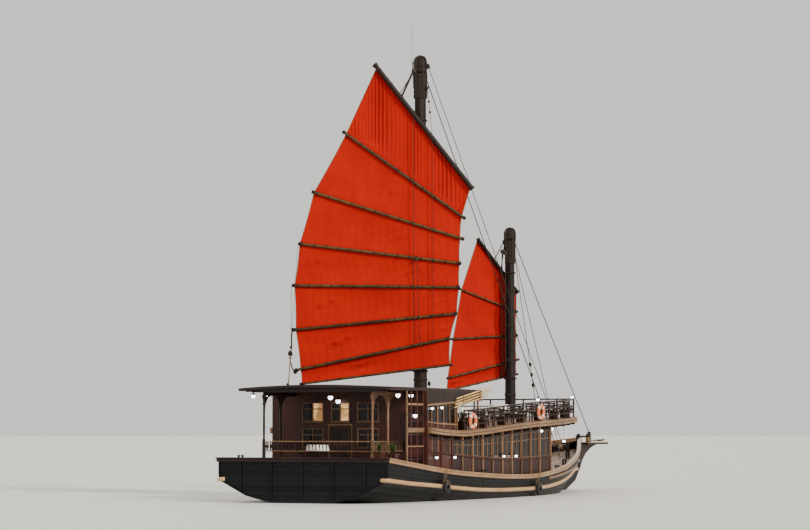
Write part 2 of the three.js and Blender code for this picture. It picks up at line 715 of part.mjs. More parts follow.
const foreRailing = cut(
  join(
    ...[[0, 80], [-330, 50], [-640, 50]].map(([drop, height]) =>
      block(foreRailX - 30, foreRailX + 30, -foreRailY, foreRailY,
        foreRailTop + drop - height / 2, foreRailTop + drop + height / 2)),
    ...steps(-foreRailY + 30, foreRailY - 30, 900).map((y) =>
      block(foreRailX - 30, foreRailX + 30, y - 30, y + 30, foreRailTop - RAILING.height - 60, foreRailTop)),
  ),
  moved(upperDeck, 0, 0, GAP),
);

// Doors hang on the outer face of a bulkhead, on an axis in the middle of their thickness.
function door(faceX, outward, y0, y1, z0, z1) {
  const near = faceX + outward * RUNNING_GAP;
  const far = near + outward * DOOR.thickness;
  return block(Math.min(near, far), Math.max(near, far), y0, y1, z0, z1);
}
const doorAft = door(placeX(AFT_BULKHEAD_AT) - HOUSE.wall / 2, -1, -90, 890, 1720, 3290);
const doorFore = door(placeX(FORE_BULKHEAD_AT) + HOUSE.wall / 2, 1, -490, 490, 1370, 3090);

// Bow platform, its bracket and bitts, and the windlass on the foredeck.
const platformX = [STEM_FACE + GAP, PLATFORM.tip].map(placeX);
const bowPlatform = join(
  block(platformX[0], platformX[1], -PLATFORM.halfWidth, PLATFORM.halfWidth,
    PLATFORM.top - PLATFORM.thickness, PLATFORM.top),
  plate([
    [platformX[0], 2400],
    [placeX(33700), 2400],
    [placeX(32900), 2220],
    [placeX(32100), 1900],
    [placeX(31650), 1550],
    [platformX[0], 1350],
  ], 160),
  block(placeX(32720), placeX(32880), -80, 80, 2450, 3050),
  ...[-1, 1].map((side) => block(
    placeX(BITT.at - BITT.half), placeX(BITT.at + BITT.half),
    side * BITT.out - BITT.half, side * BITT.out + BITT.half, BITT.foot, BITT.top,
  )),
  block(placeX(BITT.at - 50), placeX(BITT.at + 50), -420, 420, BITT.top - 190, BITT.top - 100),
);
const windlassX = placeX(WINDLASS.at);
const windlass = cut(
  join(
    rod([windlassX, -WINDLASS.half, WINDLASS.height], [windlassX, WINDLASS.half, WINDLASS.height],
      WINDLASS.radius, WINDLASS.radius, 12),
    ...[-1, 1].map((side) => block(
      windlassX - WINDLASS.cheek, windlassX + WINDLASS.cheek,
      side * WINDLASS.half - WINDLASS.cheek / 2, side * WINDLASS.half + WINDLASS.cheek / 2,
      1600, 2480,
    )),
  ),
  moved(hullShape, 0, 0, GAP),
);

// Life rings on the railing, tyres over the side, and the bundle of bamboo poles.
function lifeRing(d, z) {
  const ring = new THREE.TorusGeometry(LIFE_RING.radius, LIFE_RING.tube, 8, 20).rotateX(Math.PI / 2);
  const { y, turn } = railingAt(d);
  const reach = (RAILING.post / 2) * (Math.cos(turn) + Math.abs(Math.sin(turn)));
  const out = reach + LIFE_RING.tube + GAP;
  return ring.rotateZ(-turn).translate(placeX(d), -y - out / Math.cos(turn), z);
}
function tyreFender(d, side) {
  const ring = new THREE.TorusGeometry(TYRE.radius, TYRE.tube, 8, 16).rotateX(Math.PI / 2);
  const y = hullY(d, rubRailZ(d)) + RUB_RAIL.proud + TYRE.tube;
  const tyre = ring.translate(placeX(d), side * y, rubRailZ(d) - TYRE.drop);
  return cut(tyre, moved(side < 0 ? mirrored(rubRail) : rubRail, 0, side * GAP, 0));
}
const poleAt = (i) => rod(
  [placeX(7400 + 90 * i), -POLES.y, 4130 + POLES.rise * i],
  [placeX(11000 + 130 * i), -POLES.y, 4700 + POLES.rise * i],
  POLES.radius, POLES.radius, 8,
);
const poleTie = (d, z) => block(
  placeX(d) - 35, placeX(d) + 35, -POLES.y - 30, -POLES.y + 30, z, z + 3.6 * POLES.rise,
);
const poles = join(
  ...Array.from({ length: POLES.count }, (_, i) => poleAt(i)),
  poleTie(8300, 4230),
  poleTie(10100, 4510),
);

// Stays, each from a masthead to the deck.
function stay(mast, shape, z, to, ...seats) {
  const from = [placeX(mast.at), 0, z];
  const wire = rod(from, [placeX(to[0]), to[1], to[2]], STAY_RADIUS, STAY_RADIUS, 6);
  return cut(wire, moved(shape, GAP, 0, 0), ...seats);
}
const mainStay = stay(
  MAIN_MAST, mainMast, 20300, [26300, -1000, deckZ(26300) - 60], moved(hullShape, 0, 0, GAP),
);
const foreStay = stay(
  FORE_MAST, foreMast, 13050, [32800, 0, 2980],
  moved(bowPlatform, 0, 0, GAP), moved(bowPlatform, -GAP, 0, 0),
);

// Sails turn about their mast. In a sail's own frame +X runs aft along the spars from the mast's axis.
const MAIN_SAIL = {
  mast: MAIN_MAST,
  swing: 62,
  cloth: 450,
  yard: { from: [-2430, 14390], to: [2190, 20280], radius: 115 },
  boom: { from: [-1480, 6170], to: [5650, 5260], radius: 55 },
  battens: [
    [-2090, 13000, 3670, 17100],
    [-2030, 12040, 5110, 14260],
    [-1890, 10910, 5730, 11820],
    [-1830, 9790, 6020, 9860],
    [-1700, 8570, 5990, 7780],
    [-1340, 7410, 5890, 5900],
  ],
  battenRadius: 72,
  outline: [
    [2070, 20090],
    [3500, 16970],
    [5000, 14320],
    [5660, 11750],
    [5890, 9840],
    [5830, 7810],
    [5600, 6000],
    [5560, 5262],
    [-1340, 6142],
    [-1430, 7440],
    [-1700, 8570],
    [-1790, 9760],
    [-1830, 12210],
    [-1890, 13280],
    [-2330, 14480],
  ],
};
const FORE_SAIL = {
  mast: FORE_MAST,
  swing: 35,
  cloth: -460,
  yard: { from: [-700, 10090], to: [1690, 12770], radius: 88 },
  boom: { from: [-720, 5975], to: [3520, 5080], radius: 48 },
  battens: [
    [-690, 9120, 2800, 10230],
    [-690, 7930, 3250, 7670],
    [-770, 6720, 3480, 5710],
  ],
  battenRadius: 55,
  outline: [
    [1640, 12690],
    [2530, 10370],
    [2800, 9340],
    [3070, 7740],
    [3360, 6100],
    [3440, 5085],
    [-640, 5945],
    [-640, 10140],
  ],
};

const sailTurn = (sail) => Math.PI - THREE.MathUtils.degToRad(sail.swing);

// A hoop round the mast with an arm to the spar that it carries. At rest its flats face
// the mast's corners.
function parrel(sail, z, armZ, spar) {
  const [low, high] = [z - PARREL.half, z + PARREL.half];
  const radius = mastRadius(sail.mast, low) / Math.cos(Math.PI / sail.mast.sides) + RUNNING_GAP;
  const hoop = turned([
    [radius, low],
    [radius + PARREL.thickness, low],
    [radius + PARREL.thickness, high],
    [radius, high],
    [radius, low],
  ], sail.mast.sides).rotateZ(Math.PI / sail.mast.sides - sailTurn(sail));
  const [near, far] = [Math.sign(sail.cloth) * (radius + 25), spar].sort((a, b) => a - b);
  return join(hoop, block(-PARREL.arm, PARREL.arm, near, far, armZ[0], armZ[1]));
}

function sailGroup(name, sail) {
  const group = new THREE.Group();
  group.name = name;
  const face = sail.cloth + CLOTH_THICKNESS / 2 + GAP;
  const behindFace = block(-9000, 9000, face - 600, face, 0, 25000);
  const sparY = (radius) => face + 0.93 * radius;
  const zAtMast = ({ from, to }) => from[1] + ((to[1] - from[1]) * -from[0]) / (to[0] - from[0]);
  const spar = ({ from, to, radius }) => {
    const [start, end] = [from, to].map(([u, z]) => [u, sparY(radius), z]);
    return cut(rod(start, end, radius, radius * 0.94, 10), behindFace);
  };
  const yardZ = zAtMast(sail.yard) + 190;
  const boomZ = zAtMast(sail.boom) - 95;
  const yard = join(
    spar(sail.yard),
    parrel(sail, yardZ, [yardZ - PARREL.half, yardZ + PARREL.half], sparY(sail.yard.radius)),
  );
  const boom = join(
    spar(sail.boom),
    parrel(sail, boomZ, [boomZ - 40, boomZ + 70], sparY(sail.boom.radius)),
  );
  const notch = (low, high) => block(-PARREL.arm - 4, PARREL.arm + 4, -2000, 2000, low, high);
  const cloth = cut(
    plate(sail.outline, CLOTH_THICKNESS, sail.cloth),
    notch(boomZ - 200, boomZ + 74),
    notch(yardZ - PARREL.half - 4, yardZ + 500),
  );
  group.add(part(name + "_yard", yard, "spar"));
  group.add(part(name + "_boom", boom, "spar"));
  group.add(part(name + "_cloth", cloth, "sail"));
  sail.battens.forEach(([u0, z0, u1, z1], i) => {
    const batten = spar({ from: [u0, z0], to: [u1, z1], radius: sail.battenRadius });
    group.add(part(name + "_batten_" + (i + 1), batten, "spar"));
  });
  group.position.set(placeX(sail.mast.at), 0, 0);
  group.rotation.z = sailTurn(sail);
  return group;
}

// The ship.
const junk = new THREE.Group();
junk.name = "junk";
const bothSides = (name, geometry, finish) => {
  junk.add(part(name + "_port", geometry, finish));
  junk.add(part(name + "_starboard", mirrored(geometry), finish));
};

junk.add(part("hull", hullShape, "hull"));
junk.add(part("keel", keel, "hull"));
junk.add(part("stem_post", stemPost, "hull"));
bothSides("rub_rail", rubRail, "rail");
bothSides("wale", wale, "rail");
bothSides("gunwale", gunwale, "rail");
bothSides("bulwark", bulwark, "hull");
junk.add(part("transom_beam", transomBeam, "rail"));
junk.add(part("bow_platform", bowPlatform, "wood"));
junk.add(part("windlass", windlass, "wood"));
bothSides("house_wall", houseWall, "wood");
junk.add(part("bulkhead_aft", bulkheadAft, "wood"));
junk.add(part("bulkhead_fore", bulkheadFore, "wood"));
junk.add(part("upper_deck", upperDeck, "rail"));
bothSides("upper_wall", upperWall, "wood");
junk.add(part("upper_bulkhead", upperBulkheadFore, "wood"));
junk.add(part("roof", roof, "wood"));
bothSides("roof_post", roofPost, "wood");
bothSides("canopy_frame", canopy, "wood");
junk.add(part("stern_rail", sternRail, "wood"));
bothSides("railing", railing, "wood");
junk.add(part("railing_fore", foreRailing, "wood"));
junk.add(part("main_mast", mainMast, "spar"));
junk.add(part("fore_mast", foreMast, "spar"));
junk.add(part("main_stay", mainStay, "rope"));
junk.add(part("fore_stay", foreStay, "rope"));
junk.add(part("life_ring_1", lifeRing(8800, 3540), "ring"));
junk.add(part("life_ring_2", lifeRing(16700, 3990), "ring"));
junk.add(part("tyre_fender_1", tyreFender(5300, -1), "tyre"));
junk.add(part("tyre_fender_2", tyreFender(15900, -1), "tyre"));
junk.add(part("bamboo_poles", poles, "bamboo"));
junk.add(part("rudder", rudder, "hull"));
junk.add(part("propeller", propeller, "bronze"));
junk.add(part("door_aft", doorAft, "wood"));
junk.add(part("door_fore", doorFore, "wood"));
junk.add(part("antenna", antenna, "metal"));
junk.add(sailGroup("main_sail", MAIN_SAIL));
junk.add(sailGroup("fore_sail", FORE_SAIL));

export default junk;
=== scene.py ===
"""The looks of a two-masted wooden junk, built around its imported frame.

Metres, +X to the bow, +Y to port, +Z up, with the origin amidships at the waterline.
A place along the ship, `d`, is counted forward of the transom.
"""

import logging
import math
import random
from collections.abc import Callable, Sequence
from dataclasses import dataclass, replace
from enum import Enum

import bmesh
import bpy
from mathutils import Matrix, Vector


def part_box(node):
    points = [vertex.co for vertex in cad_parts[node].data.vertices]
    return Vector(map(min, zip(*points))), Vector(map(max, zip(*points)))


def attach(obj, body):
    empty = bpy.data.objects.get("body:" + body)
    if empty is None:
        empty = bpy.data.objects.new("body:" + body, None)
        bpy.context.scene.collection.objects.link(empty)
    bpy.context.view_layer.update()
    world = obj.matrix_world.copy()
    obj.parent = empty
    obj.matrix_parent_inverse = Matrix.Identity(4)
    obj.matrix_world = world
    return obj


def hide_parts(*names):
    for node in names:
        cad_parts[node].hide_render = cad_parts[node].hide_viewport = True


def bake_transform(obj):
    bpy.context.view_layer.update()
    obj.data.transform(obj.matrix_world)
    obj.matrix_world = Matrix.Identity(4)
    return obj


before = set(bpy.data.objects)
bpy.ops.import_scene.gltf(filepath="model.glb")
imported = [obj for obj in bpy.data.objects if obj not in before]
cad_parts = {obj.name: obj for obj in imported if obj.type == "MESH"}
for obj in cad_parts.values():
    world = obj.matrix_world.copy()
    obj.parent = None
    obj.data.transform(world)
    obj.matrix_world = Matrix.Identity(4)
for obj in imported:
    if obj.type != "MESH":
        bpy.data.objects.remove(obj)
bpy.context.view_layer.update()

log = logging.getLogger("junk")

AMIDSHIPS = 16.5
SIDES = {"port": 1, "starboard": -1}
SHARP_ANGLE = math.radians(38)
AHEAD, PORT, UP = Vector((1, 0, 0)), Vector((0, 1, 0)), Vector((0, 0, 1))
# The axis that a bulkhead's boards follow each other along, and their width.
BULKHEAD_BOARDS = ("Y", 0.16)
# How far the upper deck's planks stand above its solid.
PLANK_RISE = 0.018
# How far the feet of posts and boards stand below the deck's surface.
SUNK = 0.02
# The height of the upper cabin's walls at the roof.
CEILING = 4.86
# The gap between the cloth and a spar, and the share of the spar's radius that stands clear of it.
SPAR_GAP, SPAR_BEDDED = 0.0124, 0.93
Colour = tuple[float, float, float]


def tint(code: str) -> Colour:
    """A colour written as rrggbb, as linear light.

    Args:
        code: six hexadecimal digits.

    Returns:
        Red, green and blue from 0 to 1.
    """
    parts = [int(code[i : i + 2], 16) / 255 for i in (0, 2, 4)]
    return tuple(c / 12.92 if c <= 0.04045 else ((c + 0.055) / 1.055) ** 2.4 for c in parts)


def at(d: float, y: float, z: float) -> Vector:
    """The point at a place along the ship, a distance to port and a height."""
    return Vector((d - AMIDSHIPS, y, z))


def steps(start: float, stop: float, step: float) -> list[float]:
    """Evenly spaced values from start to stop, both included, about one step apart."""
    count = max(round((stop - start) / step), 1)
    return [start + (stop - start) * i / count for i in range(count + 1)]


def heading(turn: float) -> Vector:
    """The level direction at a turn, in radians, to port of straight ahead."""
    return Vector((math.cos(turn), math.sin(turn), 0))


def square_to(axis: Vector) -> tuple[Vector, Vector, Vector]:
    """An axis of unit length, and two directions square to it and to each other.

    Args:
        axis: any direction.

    Returns:
        The axis at unit length, and the two directions.
    """
    axis = axis.normalized()
    side = axis.cross(AHEAD if abs(axis.x) < 0.9 else UP).normalized()
    return axis, side, axis.cross(side)


class Value:
    """A node's output that takes part in Python arithmetic, each sign being a Math node."""

    def __init__(self, bench: "Bench", socket: bpy.types.NodeSocket) -> None:
        """Keeps the bench that adds nodes, and the socket itself."""
        self.bench = bench
        self.socket = socket

    def __add__(self, other: "Value | float") -> "Value":
        """The sum."""
        return self.bench.maths("ADD", self, other)

    __radd__ = __add__

    def __sub__(self, other: "Value | float") -> "Value":
        """The difference."""
        return self.bench.maths("SUBTRACT", self, other)

    def __rsub__(self, other: float) -> "Value":
        """The difference from a number."""
        return self.bench.maths("SUBTRACT", other, self)

    def __mul__(self, other: "Value | float") -> "Value":
        """The product."""
        return self.bench.maths("MULTIPLY", self, other)

    __rmul__ = __mul__

    def __truediv__(self, other: "Value | float") -> "Value":
        """The quotient."""
        return self.bench.maths("DIVIDE", self, other)

    def __rtruediv__(self, other: float) -> "Value":
        """A number divided by the value."""
        return self.bench.maths("DIVIDE", other, self)

    def fraction(self) -> "Value":
        """What is left over the whole number below."""
        return self.bench.maths("FRACT", self)

    def whole(self) -> "Value":
        """The whole number below."""
        return self.bench.maths("FLOOR", self)

    def wave(self) -> "Value":
        """The sine, from 0 to 1."""
        return self.bench.maths("SINE", self) * 0.5 + 0.5

    def distance(self, other: float) -> "Value":
        """How far the value lies from a number."""
        return self.bench.maths("ABSOLUTE", self - other)

    def window(self, low: float, high: float) -> "Value":
        """0 below low, 1 above high and smooth between."""
        return self.bench.window(self, low, high)


class Bench:
    """A material in the making."""

    def __init__(self, name: str) -> None:
        """Starts an empty node material of that name.

        Args:
            name: the material's name.
        """
        self.material = bpy.data.materials.new(name)
        self.material.use_nodes = True
        self.tree = self.material.node_tree
        self.tree.nodes.clear()

    def node(self, kind: str, settings: dict | None = None, inputs: dict | None = None) -> bpy.types.Node:
        """Adds one node.

        Args:
            kind: the node's type.
            settings: its own properties, and "stops" for a ramp's [place, colour] pairs.
            inputs: values or links by socket name or number.

        Returns:
            The node.
        """
        made = self.tree.nodes.new(kind)
        for key, value in (settings or {}).items():
            if key == "stops":
                for i, (place, colour) in enumerate(value):
                    stop = made.color_ramp.elements[i] if i < 2 else made.color_ramp.elements.new(place)
                    stop.position, stop.color = place, (*colour, 1)
            else:
                setattr(made, key, value)
        for key, value in (inputs or {}).items():
            if isinstance(value, Value):
                self.tree.links.new(value.socket, made.inputs[key])
            else:
                made.inputs[key].default_value = value
        return made

    def maths(self, operation: str, *terms: "Value | float") -> Value:
        """One Math node on one or two terms."""
        made = self.node("ShaderNodeMath", {"operation": operation}, dict(enumerate(terms)))
        return Value(self, made.outputs[0])

    def stretched(self, vector: Value, stretch: Sequence[float]) -> Value:
        """A vector with its three parts multiplied."""
        made = self.node("ShaderNodeVectorMath", {"operation": "MULTIPLY"}, {0: vector, 1: stretch})
        return Value(self, made.outputs[0])

    def place(self, stretch: Sequence[float] = (1, 1, 1)) -> Value:
        """The point on the ship, in metres, stretched for a pattern that isn't even."""
        made = self.node("ShaderNodeTexCoord")
        return self.stretched(Value(self, made.outputs["Object"]), stretch)

    def run(self, stretch: Sequence[float] = (1, 1, 1)) -> Value:
        """The piece's own unrolled coordinates: along it, then across or round it."""
        made = self.node("ShaderNodeUVMap", {"uv_map": "run"})
        return self.stretched(Value(self, made.outputs[0]), stretch)

    def part(self, vector: Value, axis: str) -> Value:
        """One part, X, Y or Z, of a vector."""
        made = self.node("ShaderNodeSeparateXYZ", inputs={0: vector})
        return Value(self, made.outputs[axis])

    def shade(self) -> Value:
        """Each board's own tone, about 0; on the sail canvas, the painted shade of its creases, from 0 to
        1.
        """
        made = self.node("ShaderNodeAttribute", {"attribute_name": "shade"})
        return Value(self, made.outputs["Fac"])

    def noise(self, where: Value, scale: float, detail: float = 3, distortion: float = 0) -> Value:
        """Cloudy noise from 0 to 1."""
        inputs = {"Vector": where, "Scale": scale, "Detail": detail, "Distortion": distortion}
        return Value(self, self.node("ShaderNodeTexNoise", inputs=inputs).outputs["Fac"])

    def window(self, value: Value, low: float, high: float) -> Value:
        """0 below low, 1 above high and smooth between.

        Args:
            value: what is measured.
            low: where it leaves 0.
            high: where it reaches 1.

        Returns:
            The eased value.
        """
        made = self.node(
            "ShaderNodeMapRange", {"interpolation_type": "SMOOTHSTEP", "clamp": True},
            {"Value": value, "From Min": low, "From Max": high}
        )
        return Value(self, made.outputs[0])

    def blend(self, factor: "Value | float", first: "Value | Colour", second: "Value | Colour") -> Value:
        """A colour between two, by the factor.

        Args:
            factor: 0 for the first colour and 1 for the second.
            first: a colour or its link.
            second: a colour or its link.

        Returns:
            The colour.
        """
        inputs = {0: factor}
        for socket, colour in ((6, first), (7, second)):
            inputs[socket] = colour if isinstance(colour, Value) else (*colour, 1)
        made = self.node("ShaderNodeMix", {"data_type": "RGBA"}, inputs)
        return Value(self, made.outputs[2])

    def ramp(self, value: Value, *stops: tuple[float, Colour]) -> Value:
        """A colour that goes from stop to stop as the value rises."""
        made = self.node("ShaderNodeValToRGB", {"stops": stops}, {0: value})
        return Value(self, made.outputs[0])

    def relief(self, height: Value, depth: float, strength: float = 1) -> Value:
        """The normal of a surface that rises by depth metres as height goes from 0 to 1."""
        inputs = {"Height": height, "Distance": depth, "Strength": strength}
        return Value(self, self.node("ShaderNodeBump", inputs=inputs).outputs[0])

    def surface(self, **inputs: "Value | float | Colour") -> bpy.types.Material:
        """Ends the material in a Principled surface.

        Args:
            **inputs: its sockets, with _ for a space, such as Base_Color.

        Returns:
            The material.
        """
        named = {}
        for key, value in inputs.items():
            colour = isinstance(value, tuple) and len(value) == 3
            named[key.replace("_", " ")] = (*value, 1) if colour else value
        shader = self.node("ShaderNodeBsdfPrincipled", inputs=named)
        self.node("ShaderNodeOutputMaterial", inputs={0: Value(self, shader.outputs[0])})
        return self.material


class Grain(Enum):
    """Which way a timber's grain runs, as the stretch of its pattern."""

    FORE_AND_AFT = (0.5, 7.0, 7.0)
    ATHWART = (7.0, 0.5, 7.0)
    UPRIGHT = (7.0, 7.0, 0.5)
    ALONG_PIECE = (0.6, 3.0, 1.0)


@dataclass(frozen=True)
class Finish:
    """A finish of one of the ship's materials; its material is made once and shared."""

    name: str
    slot: str

    def material(self) -> bpy.types.Material:
        """The finish's material."""
        return bpy.data.materials.get(self.name) or self.make(Bench(self.name))

    def make(self, bench: Bench) -> bpy.types.Material:
        """Builds the material on a bench."""
        raise NotImplementedError


@dataclass(frozen=True)
class Timber(Finish):
    """Sawn or turned wood, oiled or varnished, with its worn and faded places."""

    dark: Colour = (0.03, 0.015, 0.01)
    light: Colour = (0.1, 0.05, 0.03)
    faded: Colour = (0.2, 0.15, 0.11)
    grain: Grain = Grain.FORE_AND_AFT
    wear: float = 0.35
    roughness: float = 0.55
    boards: tuple[str, float] | None = None

    def make(self, bench: Bench) -> bpy.types.Material:
        """Streaks along the grain, a tone for each board, and wear on top.

        Args:
            bench: the material in the making.

        Returns:
            The material.
        """
        if self.grain is Grain.ALONG_PIECE:
            where = bench.run(self.grain.value)
        else:
            where = bench.place(self.grain.value)
        streaks = bench.noise(where, 1.7, 5, 0.7)
        fibres = bench.noise(where, 11, 2)
        patches = bench.noise(bench.place(), 0.9, 4)
        tone = streaks * 0.75 + fibres * 0.25 + bench.shade() * 0.35
        height = streaks * 0.4 + fibres * 0.6
        if self.boards:
            axis, width = self.boards
            row = bench.part(bench.place(), axis) / width
            seam = row.fraction().distance(0.5).window(0.44, 0.49)
            tone = tone + bench.maths("SINE", row.whole() * 12.99) * 0.09 - seam * 0.5
            height = height - seam * 4
        middle = tuple(a * 0.55 + b * 0.45 for a, b in zip(self.dark, self.light))
        colour = bench.ramp(tone, (0.26, self.dark), (0.8, self.light), (0.5, middle))
        worn = (patches * 0.6 + fibres * 0.4).window(0.52, 0.72) * self.wear
        return bench.surface(
            Base_Color=bench.blend(worn, colour, self.faded),
            Roughness=worn * 0.25 + streaks * 0.12 + (self.roughness - 0.06),
            Normal=bench.relief(height, 0.004, 0.7), Specular_IOR_Level=0.24
        )


@dataclass(frozen=True)
class HullPaint(Finish):
    """Tarred paint on planks, with a weed line and run-off streaks above the water."""

    base: Colour = tint("040506")
    lift: Colour = tint("0e1015")
    salt: Colour = tint("2a2b2e")
    weed: Colour = tint("171e14")

    def make(self, bench: Bench) -> bpy.types.Material:
        """Plank tones, streaks that run down, salt and a weed line at the water.

        Args:
            bench: the material in the making.

        Returns:
            The material.
        """
        place = bench.place()
        runs = bench.noise(bench.place((2.2, 2.2, 0.25)), 2.4, 4, 0.3)
        fibres = bench.noise(bench.place((0.6, 6, 6)), 5, 3)
        patches = bench.noise(place, 0.7, 5)
        tone = patches * 0.5 + fibres * 0.3 + bench.shade() * 0.6
        colour = bench.blend(tone.window(0.2, 0.75), self.base, self.lift)
        height = bench.part(place, "Z")
        low = 1 - (height + runs * 0.25).window(0.2, 0.62)
        streaked = runs.window(0.58, 0.75) * 0.28
        colour = bench.blend(streaked + low * patches * 0.35, colour, self.salt)
        wet = 1 - (height + patches * 0.12).window(0.1, 0.22)
        return bench.surface(
            Base_Color=bench.blend(wet * 0.85, colour, self.weed), Roughness=0.4 + streaked + fibres * 0.15,
            Normal=bench.relief(fibres * 0.6 + patches * 0.4, 0.006, 0.6), Specular_IOR_Level=0.16
        )


@dataclass(frozen=True)
class Canvas(Finish):
    """Sewn sail canvas: a plain weave in narrow cloths, with sun and rust stains and painted shade in its
    creases.
    """

    deep: Colour = tint("960c02")
    bright: Colour = tint("bd1802")
    # The colour of real stains and seams, and also of the painted shade in the creases.
    stain_and_crease_shade: Colour = tint("400501")
    cloth_width: float = 0.62

    def make(self, bench: Bench) -> bpy.types.Material:
        """Weave, sewn seams, soft stains and painted shade in the creases, in the sail's own coordinates.

        Args:
            bench: the material in the making.

        Returns:
            The material.
        """
        run = bench.run()
        across, up = bench.part(run, "X"), bench.part(run, "Y")
        threads = (across * 900).wave() * 0.5 + (up * 900).wave() * 0.5
        slubs = bench.noise(bench.run((2.0, 22.0, 1.0)), 3, 3)
        patches = bench.noise(run, 0.8, 4, 0.4)
        seam = (across / self.cloth_width).fraction().distance(0.5)
        stitched = seam.window(0.478, 0.488)
        # The shade attribute holds each point's crease depth; the creases darken toward the stain colour as
        # painted shade.
        crease_shade = bench.shade().window(0.0, 1.0)
        colour = bench.blend(patches.window(0.2, 0.8) * 0.35 + slubs * 0.4, self.deep, self.bright)
        colour = bench.blend(stitched * 0.13 + crease_shade * 0.75, colour, self.stain_and_crease_shade)
        old = bench.noise(bench.run((1.0, 0.3, 1.0)), 1.3, 5).window(0.58, 0.8)
        return bench.surface(
            Base_Color=bench.blend(old * 0.15, colour, self.stain_and_crease_shade), Roughness=0.72 + patches * 0.1,
            Normal=bench.relief(threads * 0.15 + slubs * 0.35 + stitched * 0.6, 0.004, 0.8),
            Sheen_Weight=0.05, Specular_IOR_Level=0.1
        )


@dataclass(frozen=True)
class Rope(Finish):
    """Laid rope: three strands that wind along the piece."""

    dark: Colour = tint("4a3a28")
    light: Colour = tint("9a8058")
    lay: float = 9.0

    def make(self, bench: Bench) -> bpy.types.Material:
        """Slanting strands with frayed fibres, darker in the grooves between strands as painted shade.

        Args:
            bench: the material in the making.

        Returns:
            The material.
        """
        run = bench.run()
        turns = bench.part(run, "X") * self.lay + bench.part(run, "Y") * 3
        strand = (turns * math.tau).wave()
        fibres = bench.noise(bench.place((30, 30, 30)), 2, 3)
        # The colour follows the strands: their grooves, low in the relief, are darker as painted shade.
        return bench.surface(
            Base_Color=bench.blend(strand * 0.6 + fibres * 0.4, self.dark, self.light),
            Roughness=0.85 + fibres * 0.1, Normal=bench.relief(strand + fibres * 0.3, 0.006)
        )


@dataclass(frozen=True)
class Plain(Finish):
    """A smooth coat or metal with grime in patches and fine scratches."""

    base: Colour = (0.5, 0.5, 0.5)
    grime: Colour = (0.1, 0.09, 0.08)
    metallic: float = 0.0
    roughness: float = 0.45
    dirt: float = 0.4
    glow: float = 0.0
    speckle: float = 6.0

    def make(self, bench: Bench) -> bpy.types.Material:
        """A base colour with grime, and a glow for a lamp.

        Args:
            bench: the material in the making.

        Returns:
            The material.
        """
        place = bench.place()
        patches = bench.noise(place, self.speckle, 5)
        scratches = bench.noise(bench.place((1, 1, 0.1)), self.speckle * 9, 2)
        dirt = (patches * 0.8 + scratches * 0.2).window(0.45, 0.7) * self.dirt
        colour = bench.blend(dirt + bench.shade() * 0.1, self.base, self.grime)
        glow = {"Emission_Color": colour, "Emission_Strength": self.glow} if self.glow else {}
        return bench.surface(
            Base_Color=colour, Roughness=dirt * 0.4 + scratches * 0.1 + self.roughness,
            Metallic=self.metallic, Normal=bench.relief(patches * 0.5 + scratches * 0.5, 0.001, 0.5), **glow
        )


@dataclass(frozen=True)
class Blind(Finish):
    """A blind of pleated paper behind a pane, painted as lit warm from the room, with a glow though it is
    no lamp.
    """

    painted_lamplight: Colour = tint("ffcf8a")
    painted_dim_light: Colour = tint("7a4a22")

    def make(self, bench: Bench) -> bpy.types.Material:
        """Pleats that run down with painted light and shade, painted pools of lamplight brighter in the
        middle of each patch, and a glow.

        Args:
            bench: the material in the making.

        Returns:
            The material.
        """
        pleats = (bench.part(bench.place(), "Y") * 90).wave()
        patches = bench.noise(bench.place(), 1.6, 3).window(0.35, 0.65)
        # Painted light: warm pools, lit and shaded pleats, and an emission glow, though the blind is no
        # lamp.
        colour = bench.blend(patches * 0.75 + pleats * 0.25, self.painted_dim_light, self.painted_lamplight)
        return bench.surface(
            Base_Color=colour, Roughness=0.6 + pleats * 0.1, Emission_Color=colour, Emission_Strength=0.9,
            Normal=bench.relief(pleats, 0.003, 0.5),
        )


@dataclass(frozen=True)
class Glass(Finish):
    """Window glass, nearly opaque and dark as painted shade of the dim room behind it, with a little salt
    on it.
    """

    # Painted shade of the dim room behind the pane.
    base: Colour = tint("170d09")

    def make(self, bench: Bench) -> bpy.types.Material:
        """A dark pane, nearly opaque as painted shade of the room behind, streaked by spray.

        Args:
            bench: the material in the making.

        Returns:
            The material.
        """
        salt = bench.noise(bench.place((3, 3, 0.6)), 3, 5).window(0.55, 0.8)
        # The dark base colour and high alpha paint the shaded room behind the pane.
        return bench.surface(
            Base_Color=bench.blend(salt * 0.08, self.base, tint("6f7678")), Roughness=0.12 + salt * 0.3,
            Alpha=0.93 + salt * 0.06, Specular_IOR_Level=0.14
        )


HULL = HullPaint("tarred_hull", "hull_paint")
UNDERBODY = Plain(
    "bottom_paint", "hull_paint", tint("3a1712"), tint("1c2418"), roughness=0.7, dirt=0.8, speckle=1.5
)
DECKING = Timber(
    "deck_planks", "rail_wood", tint("4a3524"), tint("8d6c4b"), tint("a8957c"), Grain.FORE_AND_AFT, 0.5
)
RAIL = Timber(
    "varnished_rail", "rail_wood", tint("5c4230"), tint("a07c58"), tint("c4ac8a"),
    Grain.FORE_AND_AFT, 0.45, 0.42,
)
RUB_RAIL = Timber(
    "pale_rub_rail", "rail_wood", tint("a0764a"), tint("dcb987"), tint("ecd6ae"),
    Grain.FORE_AND_AFT, 0.4, 0.4,
)
HOUSE = Timber(
    "house_boards", "house_wood", tint("140a07"), tint("40201a"), tint("6e503e"), Grain.UPRIGHT, 0.3, 0.5
)
REDWOOD = Timber(
    "red_boards", "house_wood", tint("1a0906"), tint("4e2216"), tint("784a34"), Grain.UPRIGHT, 0.35, 0.5
)
POST = Timber(
    "pale_posts", "house_wood", tint("46301f"), tint("8c684a"), tint("b0947a"), Grain.ALONG_PIECE, 0.45, 0.5
)
DARK_WOOD = Timber(
    "dark_joinery", "house_wood", tint("0d0705"), tint("2c1811"), tint("5c4838"), Grain.FORE_AND_AFT, 0.3,
    0.5,
)
